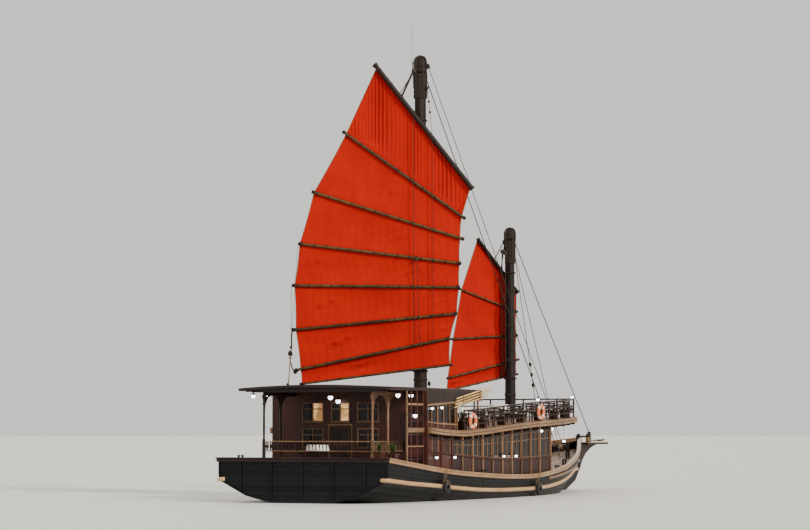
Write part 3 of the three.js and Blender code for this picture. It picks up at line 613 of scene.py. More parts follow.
DARK_BEAM = replace(DARK_WOOD, name="dark_beams", grain=Grain.ATHWART, roughness=0.55)
ROOF_BOARDS = Timber(
    "roof_boards", "house_wood", tint("1a1210"), tint("3f302a"), tint("6c6058"), Grain.FORE_AND_AFT, 0.6,
    0.65,
)
SPAR = Timber(
    "oiled_spars", "spar_wood", tint("1a1208"), tint("5a4222"), tint("86683c"), Grain.ALONG_PIECE, 0.35,
    0.45
)
MAST = Timber(
    "mast_wood", "spar_wood", tint("0b0605"), tint("26150f"), tint("463022"), Grain.UPRIGHT, 0.3, 0.55
)
YARD_WOOD = Timber(
    "dark_yards", "spar_wood", tint("0b0706"), tint("24170f"), tint("3a2c20"), Grain.ALONG_PIECE, 0.3, 0.55
)
SAILCLOTH = Canvas("red_canvas", "sail_cloth")
MANILA = Rope("manila_rope", "rope")
TARRED = Rope("tarred_rope", "rope", tint("100b08"), tint("38291c"))
WHITE_ROPE = Rope("white_line", "rope", tint("8f8a7c"), tint("dcd8ca"))
BAMBOO = Timber(
    "dry_bamboo", "bamboo", tint("a07a45"), tint("e0bd80"), tint("d8c49a"), Grain.ALONG_PIECE, 0.35, 0.38
)
RING_PAINT = Plain("ring_paint", "ring_foam", tint("e0703a"), tint("8a5a40"), roughness=0.42, dirt=0.25)
RING_BAND = Plain("ring_band", "ring_foam", tint("efe3d0"), tint("9a8a78"), roughness=0.4, dirt=0.25)
RUBBER = Plain("tyre_rubber", "tyre_rubber", tint("151515"), tint("4a463f"), roughness=0.8, dirt=0.5)
BRONZE = Plain("bronze", "bronze", tint("a87c3c"), tint("3f4a30"), 1.0, 0.35, 0.5)
IRON = Plain("black_iron", "steel", tint("2a2826"), tint("4f2f1c"), 0.7, 0.5, 0.5)
STEEL = Plain("galvanised_steel", "steel", tint("8c8f90"), tint("4a4038"), 0.9, 0.4, 0.35)
GLASS = Glass("window_glass", "steel")
BLIND = Blind("lit_blind", "sail_cloth")
LAMP = Plain("lamp_glass", "steel", tint("f4f6ff"), tint("d8e0ff"), roughness=0.2, dirt=0.2, glow=7.0)
LEAF = Plain("glossy_leaf", "bamboo", tint("1f4a1c"), tint("6a8a3a"), roughness=0.4, dirt=0.6, speckle=14)
LINEN = Plain("white_linen", "sail_cloth", tint("efeae0"), tint("c8c0b0"), roughness=0.85, dirt=0.3)


@dataclass(frozen=True)
class Lines:
    """The ship's lines: the breadth and height of each of her edges along her length."""

    # Place, keel height, two bilge corners (y, z), rub rail (y, z), deck edge (y, z).
    hull: tuple[tuple[float, ...], ...] = (
        (0.0, -0.10, 1.30, 0.04, 2.50, 0.24, 4.09, 1.00, 4.10, 1.87),
        (2.0, -0.33, 1.60, -0.18, 2.95, 0.06, 4.09, 0.85, 4.15, 1.69),
        (5.0, -0.70, 1.90, -0.52, 3.25, -0.24, 4.11, 0.68, 4.20, 1.39),
        (9.0, -1.20, 2.10, -1.00, 3.50, -0.56, 4.13, 0.45, 4.25, 1.12),
        (13.0, -1.45, 2.10, -1.25, 3.55, -0.72, 4.08, 0.37, 4.22, 0.97),
        (17.0, -1.50, 1.90, -1.30, 3.30, -0.74, 3.93, 0.41, 4.08, 1.01),
        (20.0, -1.48, 1.60, -1.23, 2.80, -0.68, 3.50, 0.56, 3.73, 1.15),
        (22.5, -1.40, 1.25, -1.10, 2.20, -0.56, 2.93, 0.78, 3.26, 1.31),
        (24.5, -1.20, 0.85, -0.90, 1.55, -0.35, 2.30, 0.93, 2.70, 1.48),
        (26.5, -0.72, 0.50, -0.48, 0.92, -0.02, 1.55, 0.99, 1.93, 1.66),
        (28.2, -0.04, 0.29, 0.16, 0.52, 0.50, 0.92, 1.03, 1.26, 1.83),
        (29.5, 0.33, 0.19, 0.50, 0.29, 0.74, 0.45, 1.08, 0.72, 1.96),
        (30.4, 0.60, 0.14, 0.74, 0.19, 0.90, 0.26, 1.15, 0.40, 2.05),
        (31.2, 1.35, 0.10, 1.45, 0.11, 1.60, 0.12, 1.75, 0.14, 2.13),
    )
    gunwale: tuple[tuple[float, ...], ...] = (
        (0.0, 4.10, 1.95),
        (2.0, 4.15, 1.75),
        (6.0, 4.22, 1.38),
        (10.5, 4.25, 1.15),
        (13.0, 4.22, 1.08),
        (16.0, 4.15, 1.09),
        (20.0, 3.76, 1.37),
        (22.0, 3.40, 1.64),
        (24.0, 2.90, 2.00),
        (27.0, 1.76, 2.35),
        (29.5, 0.76, 2.59),
        (31.2, 0.16, 2.75),
    )
    wale: tuple[tuple[float, ...], ...] = ((17.6, 0.83), (20.0, 0.97), (24.0, 1.27), (31.0, 1.54))
    upper: tuple[tuple[float, ...], ...] = (
        (4.4, 4.00, 3.11), (6.0, 4.00, 3.01), (8.0, 4.00, 2.96), (10.5, 4.00, 3.07), (13.0, 4.00, 3.24),
        (16.0, 4.00, 3.40), (20.0, 3.85, 3.54), (22.9, 3.35, 3.66)
    )
    upper_thickness: float = 0.25
    crown: float = 0.06
    length: float = 31.2

    @staticmethod
    def smooth(table: Sequence[Sequence[float]], column: int, d: float) -> float:
        """A column's value at d, on a smooth curve through the table's rows.

        Args:
            table: rows that start with their place.
            column: the column's number.
            d: the place along the ship.

        Returns:
            The value.
        """
        last = len(table) - 1
        i = next((k for k, row in enumerate(table) if row[0] > d), last) - 1
        i = min(max(i, 0), last - 1)
        rows = [table[min(max(k, 0), last)] for k in (i - 1, i, i + 1, i + 2)]
        span = rows[2][0] - rows[1][0]
        t = min(max((d - rows[1][0]) / span, 0), 1)

        def slope(p: Sequence[float], q: Sequence[float]) -> float:
            """The rise between two rows over one span."""
            return 0 if q[0] == p[0] else (q[column] - p[column]) / (q[0] - p[0]) * span

        m0, m1 = slope(rows[0], rows[2]), slope(rows[1], rows[3])
        return (
            (2 * t**3 - 3 * t**2 + 1) * rows[1][column] + (t**3 - 2 * t**2 + t) * m0
            + (3 * t**2 - 2 * t**3) * rows[2][column] + (t**3 - t**2) * m1
        )

    @staticmethod
    def straight(table: Sequence[Sequence[float]], column: int, d: float) -> float:
        """A column's value at d, on straight runs between the table's rows.

        Args:
            table: rows that start with their place.
            column: the column's number.
            d: the place along the ship.

        Returns:
            The value.
        """
        i = next((k for k, row in enumerate(table) if row[0] > d), len(table) - 1)
        a, b = table[max(i, 1) - 1], table[max(i, 1)]
        return a[column] + (b[column] - a[column]) * (d - a[0]) / (b[0] - a[0])

    def gunwale_at(self, d: float) -> tuple[float, float]:
        """Half-breadth and height of the gunwale's top."""
        return self.smooth(self.gunwale, 1, d), self.smooth(self.gunwale, 2, d)

    def deck_at(self, d: float) -> tuple[float, float]:
        """Half-breadth and height of the deck's edge."""
        return self.smooth(self.hull, 8, d), self.smooth(self.hull, 9, d)

    def rub_rail_z(self, d: float) -> float:
        """The rub rail's middle height."""
        return self.smooth(self.hull, 7, d)

    def wale_z(self, d: float) -> float:
        """The wale's middle height."""
        return self.smooth(self.wale, 1, d)

    def side_y(self, d: float, z: float) -> float:
        """How far out the topside stands at a height.

        Args:
            d: the place along the ship.
            z: the height.

        Returns:
            The half-breadth.
        """
        low, low_z = self.smooth(self.hull, 6, d), self.rub_rail_z(d)
        high, high_z = self.deck_at(d)
        return low + (high - low) * (z - low_z) / (high_z - low_z)

    def deck_z(self, d: float, y: float = 0) -> float:
        """The crowned deck's height."""
        breadth, edge = self.deck_at(d)
        return edge + self.crown * (1 - min(abs(y) / breadth, 1) ** 2)

    def upper_edge(self, d: float) -> float:
        """The upper deck's half-breadth."""
        return self.straight(self.upper, 1, d)

    def upper_top(self, d: float) -> float:
        """The upper deck's walking surface."""
        return self.straight(self.upper, 2, d) + self.upper_thickness / 2

    def upper_under(self, d: float) -> float:
        """The upper deck's underside."""
        return self.straight(self.upper, 2, d) - self.upper_thickness / 2


LINES = Lines()


def oblong(width: float, height: float, chamfer: float) -> list[tuple[float, float]]:
    """A rectangle's section with its four corners cut.

    Args:
        width: its width.
        height: its height.
        chamfer: how much of each edge is cut off.

    Returns:
        The section's points, in order.
    """
    w, h, c = width / 2, height / 2, min(chamfer, width / 3, height / 3)
    corners = [(w, c - h), (w, h - c), (w - c, h), (c - w, h)]
    return corners + [(-a, -b) for a, b in corners]


def circle(radius: float, sides: int) -> list[tuple[float, float]]:
    """A round section."""
    turns = [math.tau * i / sides for i in range(sides)]
    return [(radius * math.cos(a), radius * math.sin(a)) for a in turns]


def half_round(reach: float, half: float) -> list[tuple[float, float]]:
    """A rail's section, rounded on its outer side.

    Args:
        reach: how far its outer side stands out.
        half: half its height.

    Returns:
        The section's points, in order.
    """
    arc = [math.pi * (i / 8 - 0.5) for i in range(9)]
    return [(reach * math.cos(a) ** 0.7, half * math.sin(a)) for a in arc] + [
        (-0.05, half - 0.004), (-0.05, 0.004 - half)]


class Shape:
    """Gathers the faces of one piece, in metres in the ship's frame."""

    def __init__(self, name: str, *finishes: Finish) -> None:
        """Starts an empty piece with its finishes, the first one being coat 0.

        Args:
            name: the piece's name, which also seeds its random tones.
            *finishes: its finishes, the first being coat 0.
        """
        self.name = name
        self.finishes = finishes
        self.points: list[Vector] = []
        self.shades: list[float] = []
        self.faces: list[tuple[int, ...]] = []
        self.coats: list[int] = []
        self.runs: list[tuple[float, float]] = []
        self.dice = random.Random(name)

    def tones(self, count: int) -> list[float]:
        """A random tone for each of some boards."""
        return [self.dice.uniform(-0.5, 0.5) for _ in range(count)]

    def skin(
        self, rings: Sequence[Sequence[Vector]], coat: int | Sequence[int] = 0, closed: bool = True,
        capped: bool = True, looped: bool = False, shades: Sequence[float] | None = None,
        runs: Callable[[int, int], tuple[float, float]] | None = None
    ) -> None:
        """Adds faces between rings of equally many points.

        Args:
            rings: the rings, in order.
            coat: the finish's number, or one for each side of the ring.
            closed: whether each ring joins up with itself.
            capped: whether the first and last rings are filled.
            looped: whether the last ring joins the first.
            shades: each ring point's tone; one random tone if left out.
            runs: the unrolled coordinates of a ring's point.
        """
        count, base = len(rings[0]), len(self.points)
        tones = shades or self.tones(1) * count
        lengths = [0.0]
        for before, after in zip(rings, rings[1:]):
            lengths.append(lengths[-1] + (after[0] - before[0]).length)
        for ring in rings:
            self.points.extend(ring)
            self.shades.extend(tones)
        place = runs or (
            lambda r, i: (lengths[min(r, len(rings) - 1)] + 0.1 * (r == len(rings)), i / count)
        )
        for r in range(len(rings) if looped else len(rings) - 1):
            for i in range(count if closed else count - 1):
                here, there = base + r * count, base + (r + 1) % len(rings) * count
                nxt = (i + 1) % count
                self.faces.append((here + i, there + i, there + nxt, here + nxt))
                self.runs.extend([place(r, i), place(r + 1, i), place(r + 1, i + 1), place(r, i + 1)])
                self.coats.append(coat if isinstance(coat, int) else coat[i])
        if capped and not looped:
            for r in (0, len(rings) - 1):
                ring = [base + r * count + i for i in range(count)]
                self.faces.append(tuple(ring))
                middle = sum(rings[r], Vector()) / count
                self.runs.extend([tuple((p - middle).yz) for p in rings[r]])
                self.coats.append(coat if isinstance(coat, int) else coat[0])

    def sweep(
        self, path: Sequence[Vector], section: Sequence[tuple[float, float]], side: int = 1, coat: int = 0,
        rounded: float = 0
    ) -> None:
        """Runs a section of (out, up) along a path, square to its plan.

        Args:
            path: the points it follows.
            section: its outline about the path.
            side: 1 where out is to the left of the path, and -1 to the right.
            coat: the finish's number.
            rounded: how far each end is drawn in, as a share of the section.
        """
        rings = []
        for i, point in enumerate(path):
            along = path[min(i + 1, len(path) - 1)] - path[max(i - 1, 0)]
            out = Vector((-along.y, along.x, 0)).normalized() * side
            rings.append([point + out * a + UP * b for a, b in section])
        if rounded:
            for end, inner in ((0, 1), (len(rings) - 1, len(rings) - 2)):
                middle = sum(rings[end], Vector()) / len(section)
                lip = (path[end] - path[inner]).normalized() * rounded * 0.08
                tip = [middle + (p - middle) * (1 - rounded * 0.45) + lip for p in rings[end]]
                rings.insert(0 if end == 0 else len(rings), tip)
        self.skin(rings, coat)

    def timber(
        self, start: Vector, end: Vector, width: float, height: float, chamfer: float = 0.01, coat: int = 0,
        up: Vector = UP
    ) -> None:
        """A straight bar with its edges and ends chamfered.

        Args:
            start: the middle of one end.
            end: the middle of the other end.
            width: its size square to up.
            height: its size along up.
            chamfer: how much of each edge is cut off.
            coat: the finish's number.
            up: the direction that its height is measured in.
        """
        along = (end - start).normalized()
        side = along.cross(up)
        side = side.normalized() if side.length > 1e-4 else AHEAD
        top = side.cross(along)
        c = min(chamfer, width / 3, height / 3)
        rings = []
        for point, shrink in ((start, c), (start + along * c, 0), (end - along * c, 0), (end, c)):
            section = oblong(width - 2 * shrink, height - 2 * shrink, c)
            rings.append([point + side * a + top * b for a, b in section])
        self.skin(rings, coat)

    def post(self, d: float, y: float, low: float, high: float, width: float, height: float,
             chamfer: float = 0.01, coat: int = 0, up: Vector = AHEAD) -> None:
        """An upright bar."""
        self.timber(at(d, y, low), at(d, y, high), width, height, chamfer, coat, up)

    def beam(self, d: float, start: float, end: float, z: float, width: float, height: float,
             chamfer: float = 0.01, coat: int = 0) -> None:
        """A level bar across the ship."""
        self.timber(at(d, start, z), at(d, end, z), width, height, chamfer, coat)

    def plank(self, start: float, end: float, y: float, z: float, width: float, height: float,
              chamfer: float = 0.01, coat: int = 0) -> None:
        """A level bar along the ship."""
        self.timber(at(start, y, z), at(end, y, z), width, height, chamfer, coat)

    def tube(
        self, path: Sequence[Vector], radius: float | Callable[[float], float], sides: int = 8,
        coat: int = 0, looped: bool = False
    ) -> None:
        """A round bar or rope along a path.

        Args:
            path: the points of its middle line.
            radius: its radius, or the radius at a share from 0 to 1 of the path.
            sides: how many sides it has.
            coat: the finish's number.
            looped: whether the path joins up with itself.
        """
        rings = []
        count = len(path)
        normal = None
        for i, point in enumerate(path):
            before = path[i - 1] if looped or i else point
            after = path[(i + 1) % count] if looped or i + 1 < count else point
            along = (after - before).normalized()
            if normal is None:
                normal = along.cross(UP if abs(along.z) < 0.9 else AHEAD)
            normal = (normal - along * normal.dot(along)).normalized()
            across = along.cross(normal)
            size = radius(i / max(count - 1, 1)) if callable(radius) else radius
            rings.append([point + normal * a + across * b for a, b in circle(size, sides)])
        self.skin(rings, coat, looped=looped)

    def turned(
        self, foot: Vector, profile: Sequence[tuple[float, float]], sides: int = 16, axis: Vector = UP,
        coat: int = 0
    ) -> None:
        """A turned piece from (radius, height) points up an axis.

        Args:
            foot: the middle of its foot.
            profile: (radius, height) points, from the foot up.
            sides: how many sides it has.
            axis: the way that it points.
            coat: the finish's number.
        """
        axis, side, other = square_to(axis)
        rings = [
            [foot + axis * h + side * a + other * b for a, b in circle(max(r, 0.0008), sides)]
            for r, h in profile
        ]
        self.skin(rings, coat)

    def slab(self, outline: Sequence[Vector], thickness: Vector, coat: int = 0) -> None:
        """A flat plate: an outline and its copy moved by the thickness."""
        self.skin([list(outline), [p + thickness for p in outline]], coat)

    def ring(self, centre: Vector, axis: Vector, radius: float, tube: float, sides: int = 8,
             around: int = 24, coat: int = 0) -> None:
        """A round ring about an axis.

        Args:
            centre: its middle.
            axis: the way that it points.
            radius: from its middle to the middle of its bar.
            tube: its bar's radius.
            sides: how many sides the bar has.
            around: how many corners the ring has.
            coat: the finish's number.
        """
        _, side, other = square_to(axis)
        path = [centre + side * a + other * b for a, b in circle(radius, around)]
        self.tube(path, tube, sides, coat, looped=True)

    def ball(self, centre: Vector, radius: float, sides: int = 10, coat: int = 0) -> None:
        """A round bead or knob.

        Args:
            centre: its middle.
            radius: its radius.
            sides: how many sides it has.
            coat: the finish's number.
        """
        turns = [math.pi * i / 6 for i in range(7)]
        profile = [(radius * math.sin(a), -radius * math.cos(a)) for a in turns]
        self.turned(centre, profile, sides, coat=coat)

    def piece(
        self, body: str | None, replaces: Sequence[str] = (), moves: Matrix | None = None
    ) -> bpy.types.Object:
        """Makes the Blender object, which rides on a body.

        Args:
            body: the body's name, or None for a piece that rides on no body.
            replaces: the nodes of the frame that it stands for.
            moves: where its points go, if they aren't in the ship's frame.

        Returns:
            The object.
        """
        mesh = bpy.data.meshes.new(self.name)
        points = [moves @ p for p in self.points] if moves else self.points
        mesh.from_pydata(points, [], self.faces)
        run = mesh.uv_layers.new(name="run")
        run.uv.foreach_set("vector", [c for uv in self.runs for c in uv])
        shade = mesh.attributes.new("shade", "FLOAT", "POINT")
        shade.data.foreach_set("value", self.shades)
        mesh.polygons.foreach_set("material_index", self.coats)
        for finish in self.finishes:
            mesh.materials.append(finish.material())
        work = bmesh.new()
        work.from_mesh(mesh)
        bmesh.ops.recalc_face_normals(work, faces=work.faces)
        work.to_mesh(mesh)
        work.free()
        mesh.shade_smooth()
        mesh.set_sharp_from_angle(angle=SHARP_ANGLE)
        made = bpy.data.objects.new(self.name, mesh)
        bpy.context.scene.collection.objects.link(made)
        if body:
            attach(made, body)
        if replaces:
            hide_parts(*replaces)
        log.info("%s: %d faces on %s", self.name, len(mesh.polygons), body)
        return made


def coated(node: str, finish: Finish) -> None:
    """Gives a node of the frame its finish.

    Args:
        node: the node's name.
        finish: its finish.
    """
    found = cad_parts[node]
    found.data.materials.clear()
    found.data.materials.append(finish.material())
    log.info("%s: coated with %s", node, finish.name)


@dataclass
class Hull:
    """The planked hull with its rails, wales, bulwarks, transom and fenders."""

    station: float = 0.4
    low_strakes: int = 10
    side_strakes: int = 4
    deck_planks: int = 26
    seam: float = 0.012
    relief: float = 0.009
    transom_row: float = 0.21
    rail_pitch: float = 0.35
    bulwark_from: float = 21.6
    bulwark_planks: int = 3

    def low_point(self, d: float, t: float) -> tuple[float, float]:
        """A point on the underbody's section.

        Args:
            d: the place along the ship.
            t: from 0 at the keel to 3 at the rub rail.

        Returns:
            The distance from the middle line, and the height.
        """
        knots = [(0.12, LINES.smooth(LINES.hull, 1, d))]
        knots += [(LINES.smooth(LINES.hull, c, d), LINES.smooth(LINES.hull, c + 1, d)) for c in (2, 4, 6)]
        i = min(int(t), 2)
        a, b = knots[i], knots[i + 1]
        return a[0] + (b[0] - a[0]) * (t - i), a[1] + (b[1] - a[1]) * (t - i)

    def side_point(self, d: float, t: float) -> tuple[float, float]:
        """A point on the topside's section.

        Args:
            d: the place along the ship.
            t: from 0 at the rub rail to 1 at the deck.

        Returns:
            The distance from the middle line, and the height.
        """
        low = self.low_point(d, 3)
        high = LINES.deck_at(d)
        return low[0] + (high[0] - low[0]) * t, low[1] + (high[1] - low[1]) * t

    def strakes(self, point: Callable[[float], tuple[float, float]], top: float, count: int) -> list[tuple]:
        """The section of some strakes, each standing proud between two seams.

        Args:
            point: gives the section's point at a value.
            top: the value at the last strake's top.
            count: how many strakes there are.

        Returns:
            The section's (y, z) points.
        """
        made = []
        for k in range(count):
            a, b = top * k / count, top * (k + 1) / count
            low, high = Vector(point(a)), Vector(point(b))
            along = high - low
            edge = min(self.seam / max(along.length, 1e-3), 0.3)
            out = Vector((along.y, -along.x)).normalized() * self.relief
            for t, lift in ((0, 0), (edge, 1), (1 - edge, 1)):
                made.append(tuple(Vector(point(a + (b - a) * t)) + out * lift))
        return made

    def ring(self, d: float) -> list[Vector]:
        """The hull's outline at a place, from the keel up, over the deck and down again.

        Args:
            d: the place along the ship.

        Returns:
            The outline's points, in order.
        """
        port = self.strakes(lambda t: self.low_point(d, t), 3, self.low_strakes)
        port += self.strakes(lambda t: self.side_point(d, t), 1, self.side_strakes)
        breadth, _ = LINES.deck_at(d)
        deck = []
        for k in range(self.deck_planks):
            a, b = (breadth * (1 - 2 * j / self.deck_planks) for j in (k, k + 1))
            edge = min(0.008, abs(a - b) * 0.2)
            deck += [(a, LINES.deck_z(d, a) - 0.006), (a - edge, LINES.deck_z(d, a - edge))]
            deck += [(b + edge, LINES.deck_z(d, b + edge))]
        starboard = [(-y, z) for y, z in reversed(port[1:])] + [(-port[0][0], port[0][1])]
        return [at(d, y, z) for y, z in port + deck + [(-breadth, LINES.deck_at(d)[1])] + starboard]

    def skin(self) -> None:
        """The planked skin and deck, in place of the solid hull."""
        shape = Shape("hull_planking", HULL, DECKING)
        rings = [self.ring(d) for d in steps(0, LINES.length, self.station)]
        side = 3 * (self.low_strakes + self.side_strakes)
        deck = 3 * self.deck_planks
        strake_tones = shape.tones(side // 3)
        deck_tones = shape.tones(self.deck_planks)
        tones = [strake_tones[i // 3] for i in range(side)] + [deck_tones[i // 3] for i in range(deck)]
        tones += [0.0] + [strake_tones[(side - 1 - i) // 3] for i in range(side)]
        coats = [0] * (side + 3) + [1] * (deck - 6) + [0] * (side + 4)
        shape.skin(rings, coats, shades=tones)
        shape.piece("ship", ["hull"])

    def transom(self) -> None:
        """Planks across the transom, with a frame at its edge and the beam on top."""
        shape = Shape("transom_planks", HULL)
        low = self.low_point(0, 0)[1]
        high = LINES.deck_at(0)[1] - 0.1
        rows = steps(low, high, self.transom_row)
        for a, b in zip(rows, rows[1:]):
            ys = [self.breadth_at(z + g) for z, g in ((a, 0.006), (b, -0.006))]
            outline = [at(-0.004, y, z) for y, z in (
                (-ys[0], a + 0.006), (ys[0], a + 0.006), (ys[1], b - 0.006), (-ys[1], b - 0.006))]
            shape.slab(outline, AHEAD * -0.03)
        for side in SIDES.values():
            edge = [at(-0.045, side * (self.breadth_at(z) - 0.05), z) for z in steps(low + 0.05, high, 0.2)]
            shape.tube(edge, 0.05, 8, 0)
        for y in (-3.0, -1.5, 0, 1.5, 3.0):
            foot = 0.5 if abs(y) > 2 else 0.15
            shape.post(-0.06, y, foot, high, 0.09, 0.07, 0.015)
        beam_y, beam_z = LINES.gunwale_at(0)
        # The cap beam is dark wood where the side gunwales are pale varnish: painted shade on the transom.
        made = Shape("transom_cap", DARK_BEAM)
        made.beam(-0.08, -beam_y - 0.105, beam_y + 0.105, beam_z - 0.035, 0.16, 0.07, 0.02)
        made.beam(-0.07, -beam_y - 0.06, beam_y + 0.06, beam_z - 0.135, 0.12, 0.12)
        made.piece("ship", ["transom_beam"])
        shape.piece("ship")

    def breadth_at(self, z: float) -> float:
        """The transom's half-breadth at a height.

        Args:
            z: the height.

        Returns:
            The half-breadth.
        """
        for k in range(60):
            y, height = self.low_point(0, 3 * k / 59)
            if height >= z:
                return y
        rail, deck = LINES.rub_rail_z(0), LINES.deck_at(0)[1]
        return self.side_point(0, min((z - rail) / (deck - rail), 1))[0]

    @staticmethod
    def side_path(side: int, places: Sequence[float], height: Callable[[float], float]) -> list[Vector]:
        """The line along one topside at a height that varies."""
        return [at(d, side * LINES.side_y(d, height(d)), height(d)) for d in places]

    def rails(self) -> None:
        """Gunwales, rub rails and wales, each with its own rounded section, with bolt heads on the gunwales
        and rub rails.
        """
        places = steps(0, LINES.length, self.rail_pitch)
        cap = [
            (-0.055, -0.2), (0.07, -0.2), (0.072, -0.085), (0.1, -0.075), (0.11, -0.05), (0.108, -0.018),
            (0.09, 0.0), (-0.065, 0.0), (-0.088, -0.016), (-0.09, -0.05), (-0.08, -0.072), (-0.055, -0.08),
        ]
        for name, side in SIDES.items():
            gunwale = Shape("gunwale_cap_" + name, RAIL, IRON)
            path = [at(d, side * y, z) for d in places for y, z in [LINES.gunwale_at(d)]]
            gunwale.sweep(path, cap, side)
            for point in path[2:-4:3]:
                gunwale.ball(point + Vector((0, side * 0.112, -0.05)), 0.011, 6, 1)
            gunwale.piece("ship", ["gunwale_" + name])

            rub = Shape("rub_rail_" + name + "_round", RUB_RAIL, IRON)
            corner = [
                at(d, side * y, 1.0)
                for d, y in ((-0.022, 3.82), (-0.022, 3.9), (-0.015, 3.99), (0.03, 4.06))
            ]
            rub_path = self.side_path(side, steps(0.12, 30.2, self.rail_pitch), LINES.rub_rail_z)
            rub.sweep(corner + rub_path, half_round(0.128, 0.094), side, rounded=0.5)
            for point in rub_path[1:-4:4]:
                rub.ball(point + PORT * (side * 0.126), 0.016, 6, 1)
            rub.piece("ship", ["rub_rail_" + name])

            wale = Shape("wale_" + name + "_round", RAIL)
            wale.sweep(
                self.side_path(side, steps(17.7, 30.8, self.rail_pitch), LINES.wale_z),
                half_round(0.088, 0.074), side, rounded=0.5
            )
            wale.piece("ship", ["wale_" + name])

    def bulwarks(self) -> None:
        """Planked bulwarks at the bow with their inner stanchions."""
        for name, side in SIDES.items():
            shape = Shape("bulwark_planks_" + name, HULL, DARK_WOOD)
            rings = []
            for d in steps(self.bulwark_from, LINES.length, 0.4):
                low_y, low_z = LINES.deck_at(d)
                high_y, high_z = LINES.gunwale_at(d)
                high_z -= 0.195
                section = []
                for k in range(self.bulwark_planks):
                    for t, lift in ((0, 0), (0.06, 1), (0.94, 1)):
                        share = (k + t) / self.bulwark_planks
                        y = low_y + (high_y - low_y) * share
                        section.append((y - 0.014 + 0.01 * lift, low_z - 0.01 + (high_z - low_z) * share))
                section += [(high_y - 0.01, high_z), (max(high_y - 0.06, 0.01), high_z)]
                section += [(max(low_y - 0.07, 0.01), low_z - 0.01)]
                rings.append([at(d, side * y, z) for y, z in section])
            shape.skin(rings)
            for d in steps(22.0, 30.2, 0.8):
                (low_y, low_z), (high_y, high_z) = LINES.deck_at(d), LINES.gunwale_at(d)
                if low_y < 0.5:
                    continue
                foot = at(d, side * (low_y - 0.12), low_z)
                head = at(d, side * (high_y - 0.1), high_z - 0.19)
                shape.timber(foot, head, 0.09, 0.09, 0.012, 1, AHEAD)
            shape.piece("ship", ["bulwark_" + name])

    def fenders(self) -> None:
        """The tyres over the starboard side, each with its slings."""
        for number, d in ((1, 5.3), (2, 15.9)):
            shape = Shape(f"tyre_{number}", RUBBER, MANILA)
            z = LINES.rub_rail_z(d) - 0.04
            y = LINES.side_y(d, z + 0.04) + 0.13 + 0.095
            centre = at(d, -y, z)
            rings = []
            for i in range(36):
                turn = math.tau * i / 36
                out = Vector((math.cos(turn), 0, math.sin(turn)))
                tread = 0.008 * (i % 2)
                section = [
                    (0.105, 0.03), (0.105, 0.07), (0.14, 0.088), (0.19, 0.092), (0.235, 0.082),
                    (0.272 + tread, 0.05), (0.272 + tread, -0.05), (0.235, -0.082), (0.19, -0.092),
                    (0.14, -0.088), (0.105, -0.07), (0.105, -0.03), (0.15, -0.06), (0.2, -0.06),
                    (0.2, 0.06), (0.15, 0.06),
                ]
                rings.append([centre + out * r + PORT * s for r, s in section])
            shape.skin(rings, looped=True)
            gunwale_y, gunwale_z = LINES.gunwale_at(d)
            for lean in (-0.07, 0.07):
                top = at(d + lean, -(gunwale_y + 0.118), gunwale_z - 0.1)
                inner = at(d + lean, -(gunwale_y - 0.02), gunwale_z + 0.012)
                edge = at(d + lean, -(gunwale_y + 0.118), gunwale_z)
                low = at(d + lean * 1.6, -y, z + 0.285)
                under = at(d + lean * 1.6, -y, z + 0.09)
                shape.tube([inner, edge, top, low + PORT * 0.1, under + PORT * 0.1, under], 0.014, 7, 1)
                shape.tube([low + PORT * 0.1, low, low + PORT * -0.082,
                            under + PORT * -0.082, under], 0.014, 7, 1)
            shape.piece("ship", [f"tyre_fender_{number}"])

    def build(self) -> None:
        """Makes the hull's pieces."""
        self.skin()
        self.transom()
        self.rails()
        self.bulwarks()
        self.fenders()
        for node, finish in (("keel", UNDERBODY), ("stem_post", DARK_WOOD)):
            coated(node, finish)


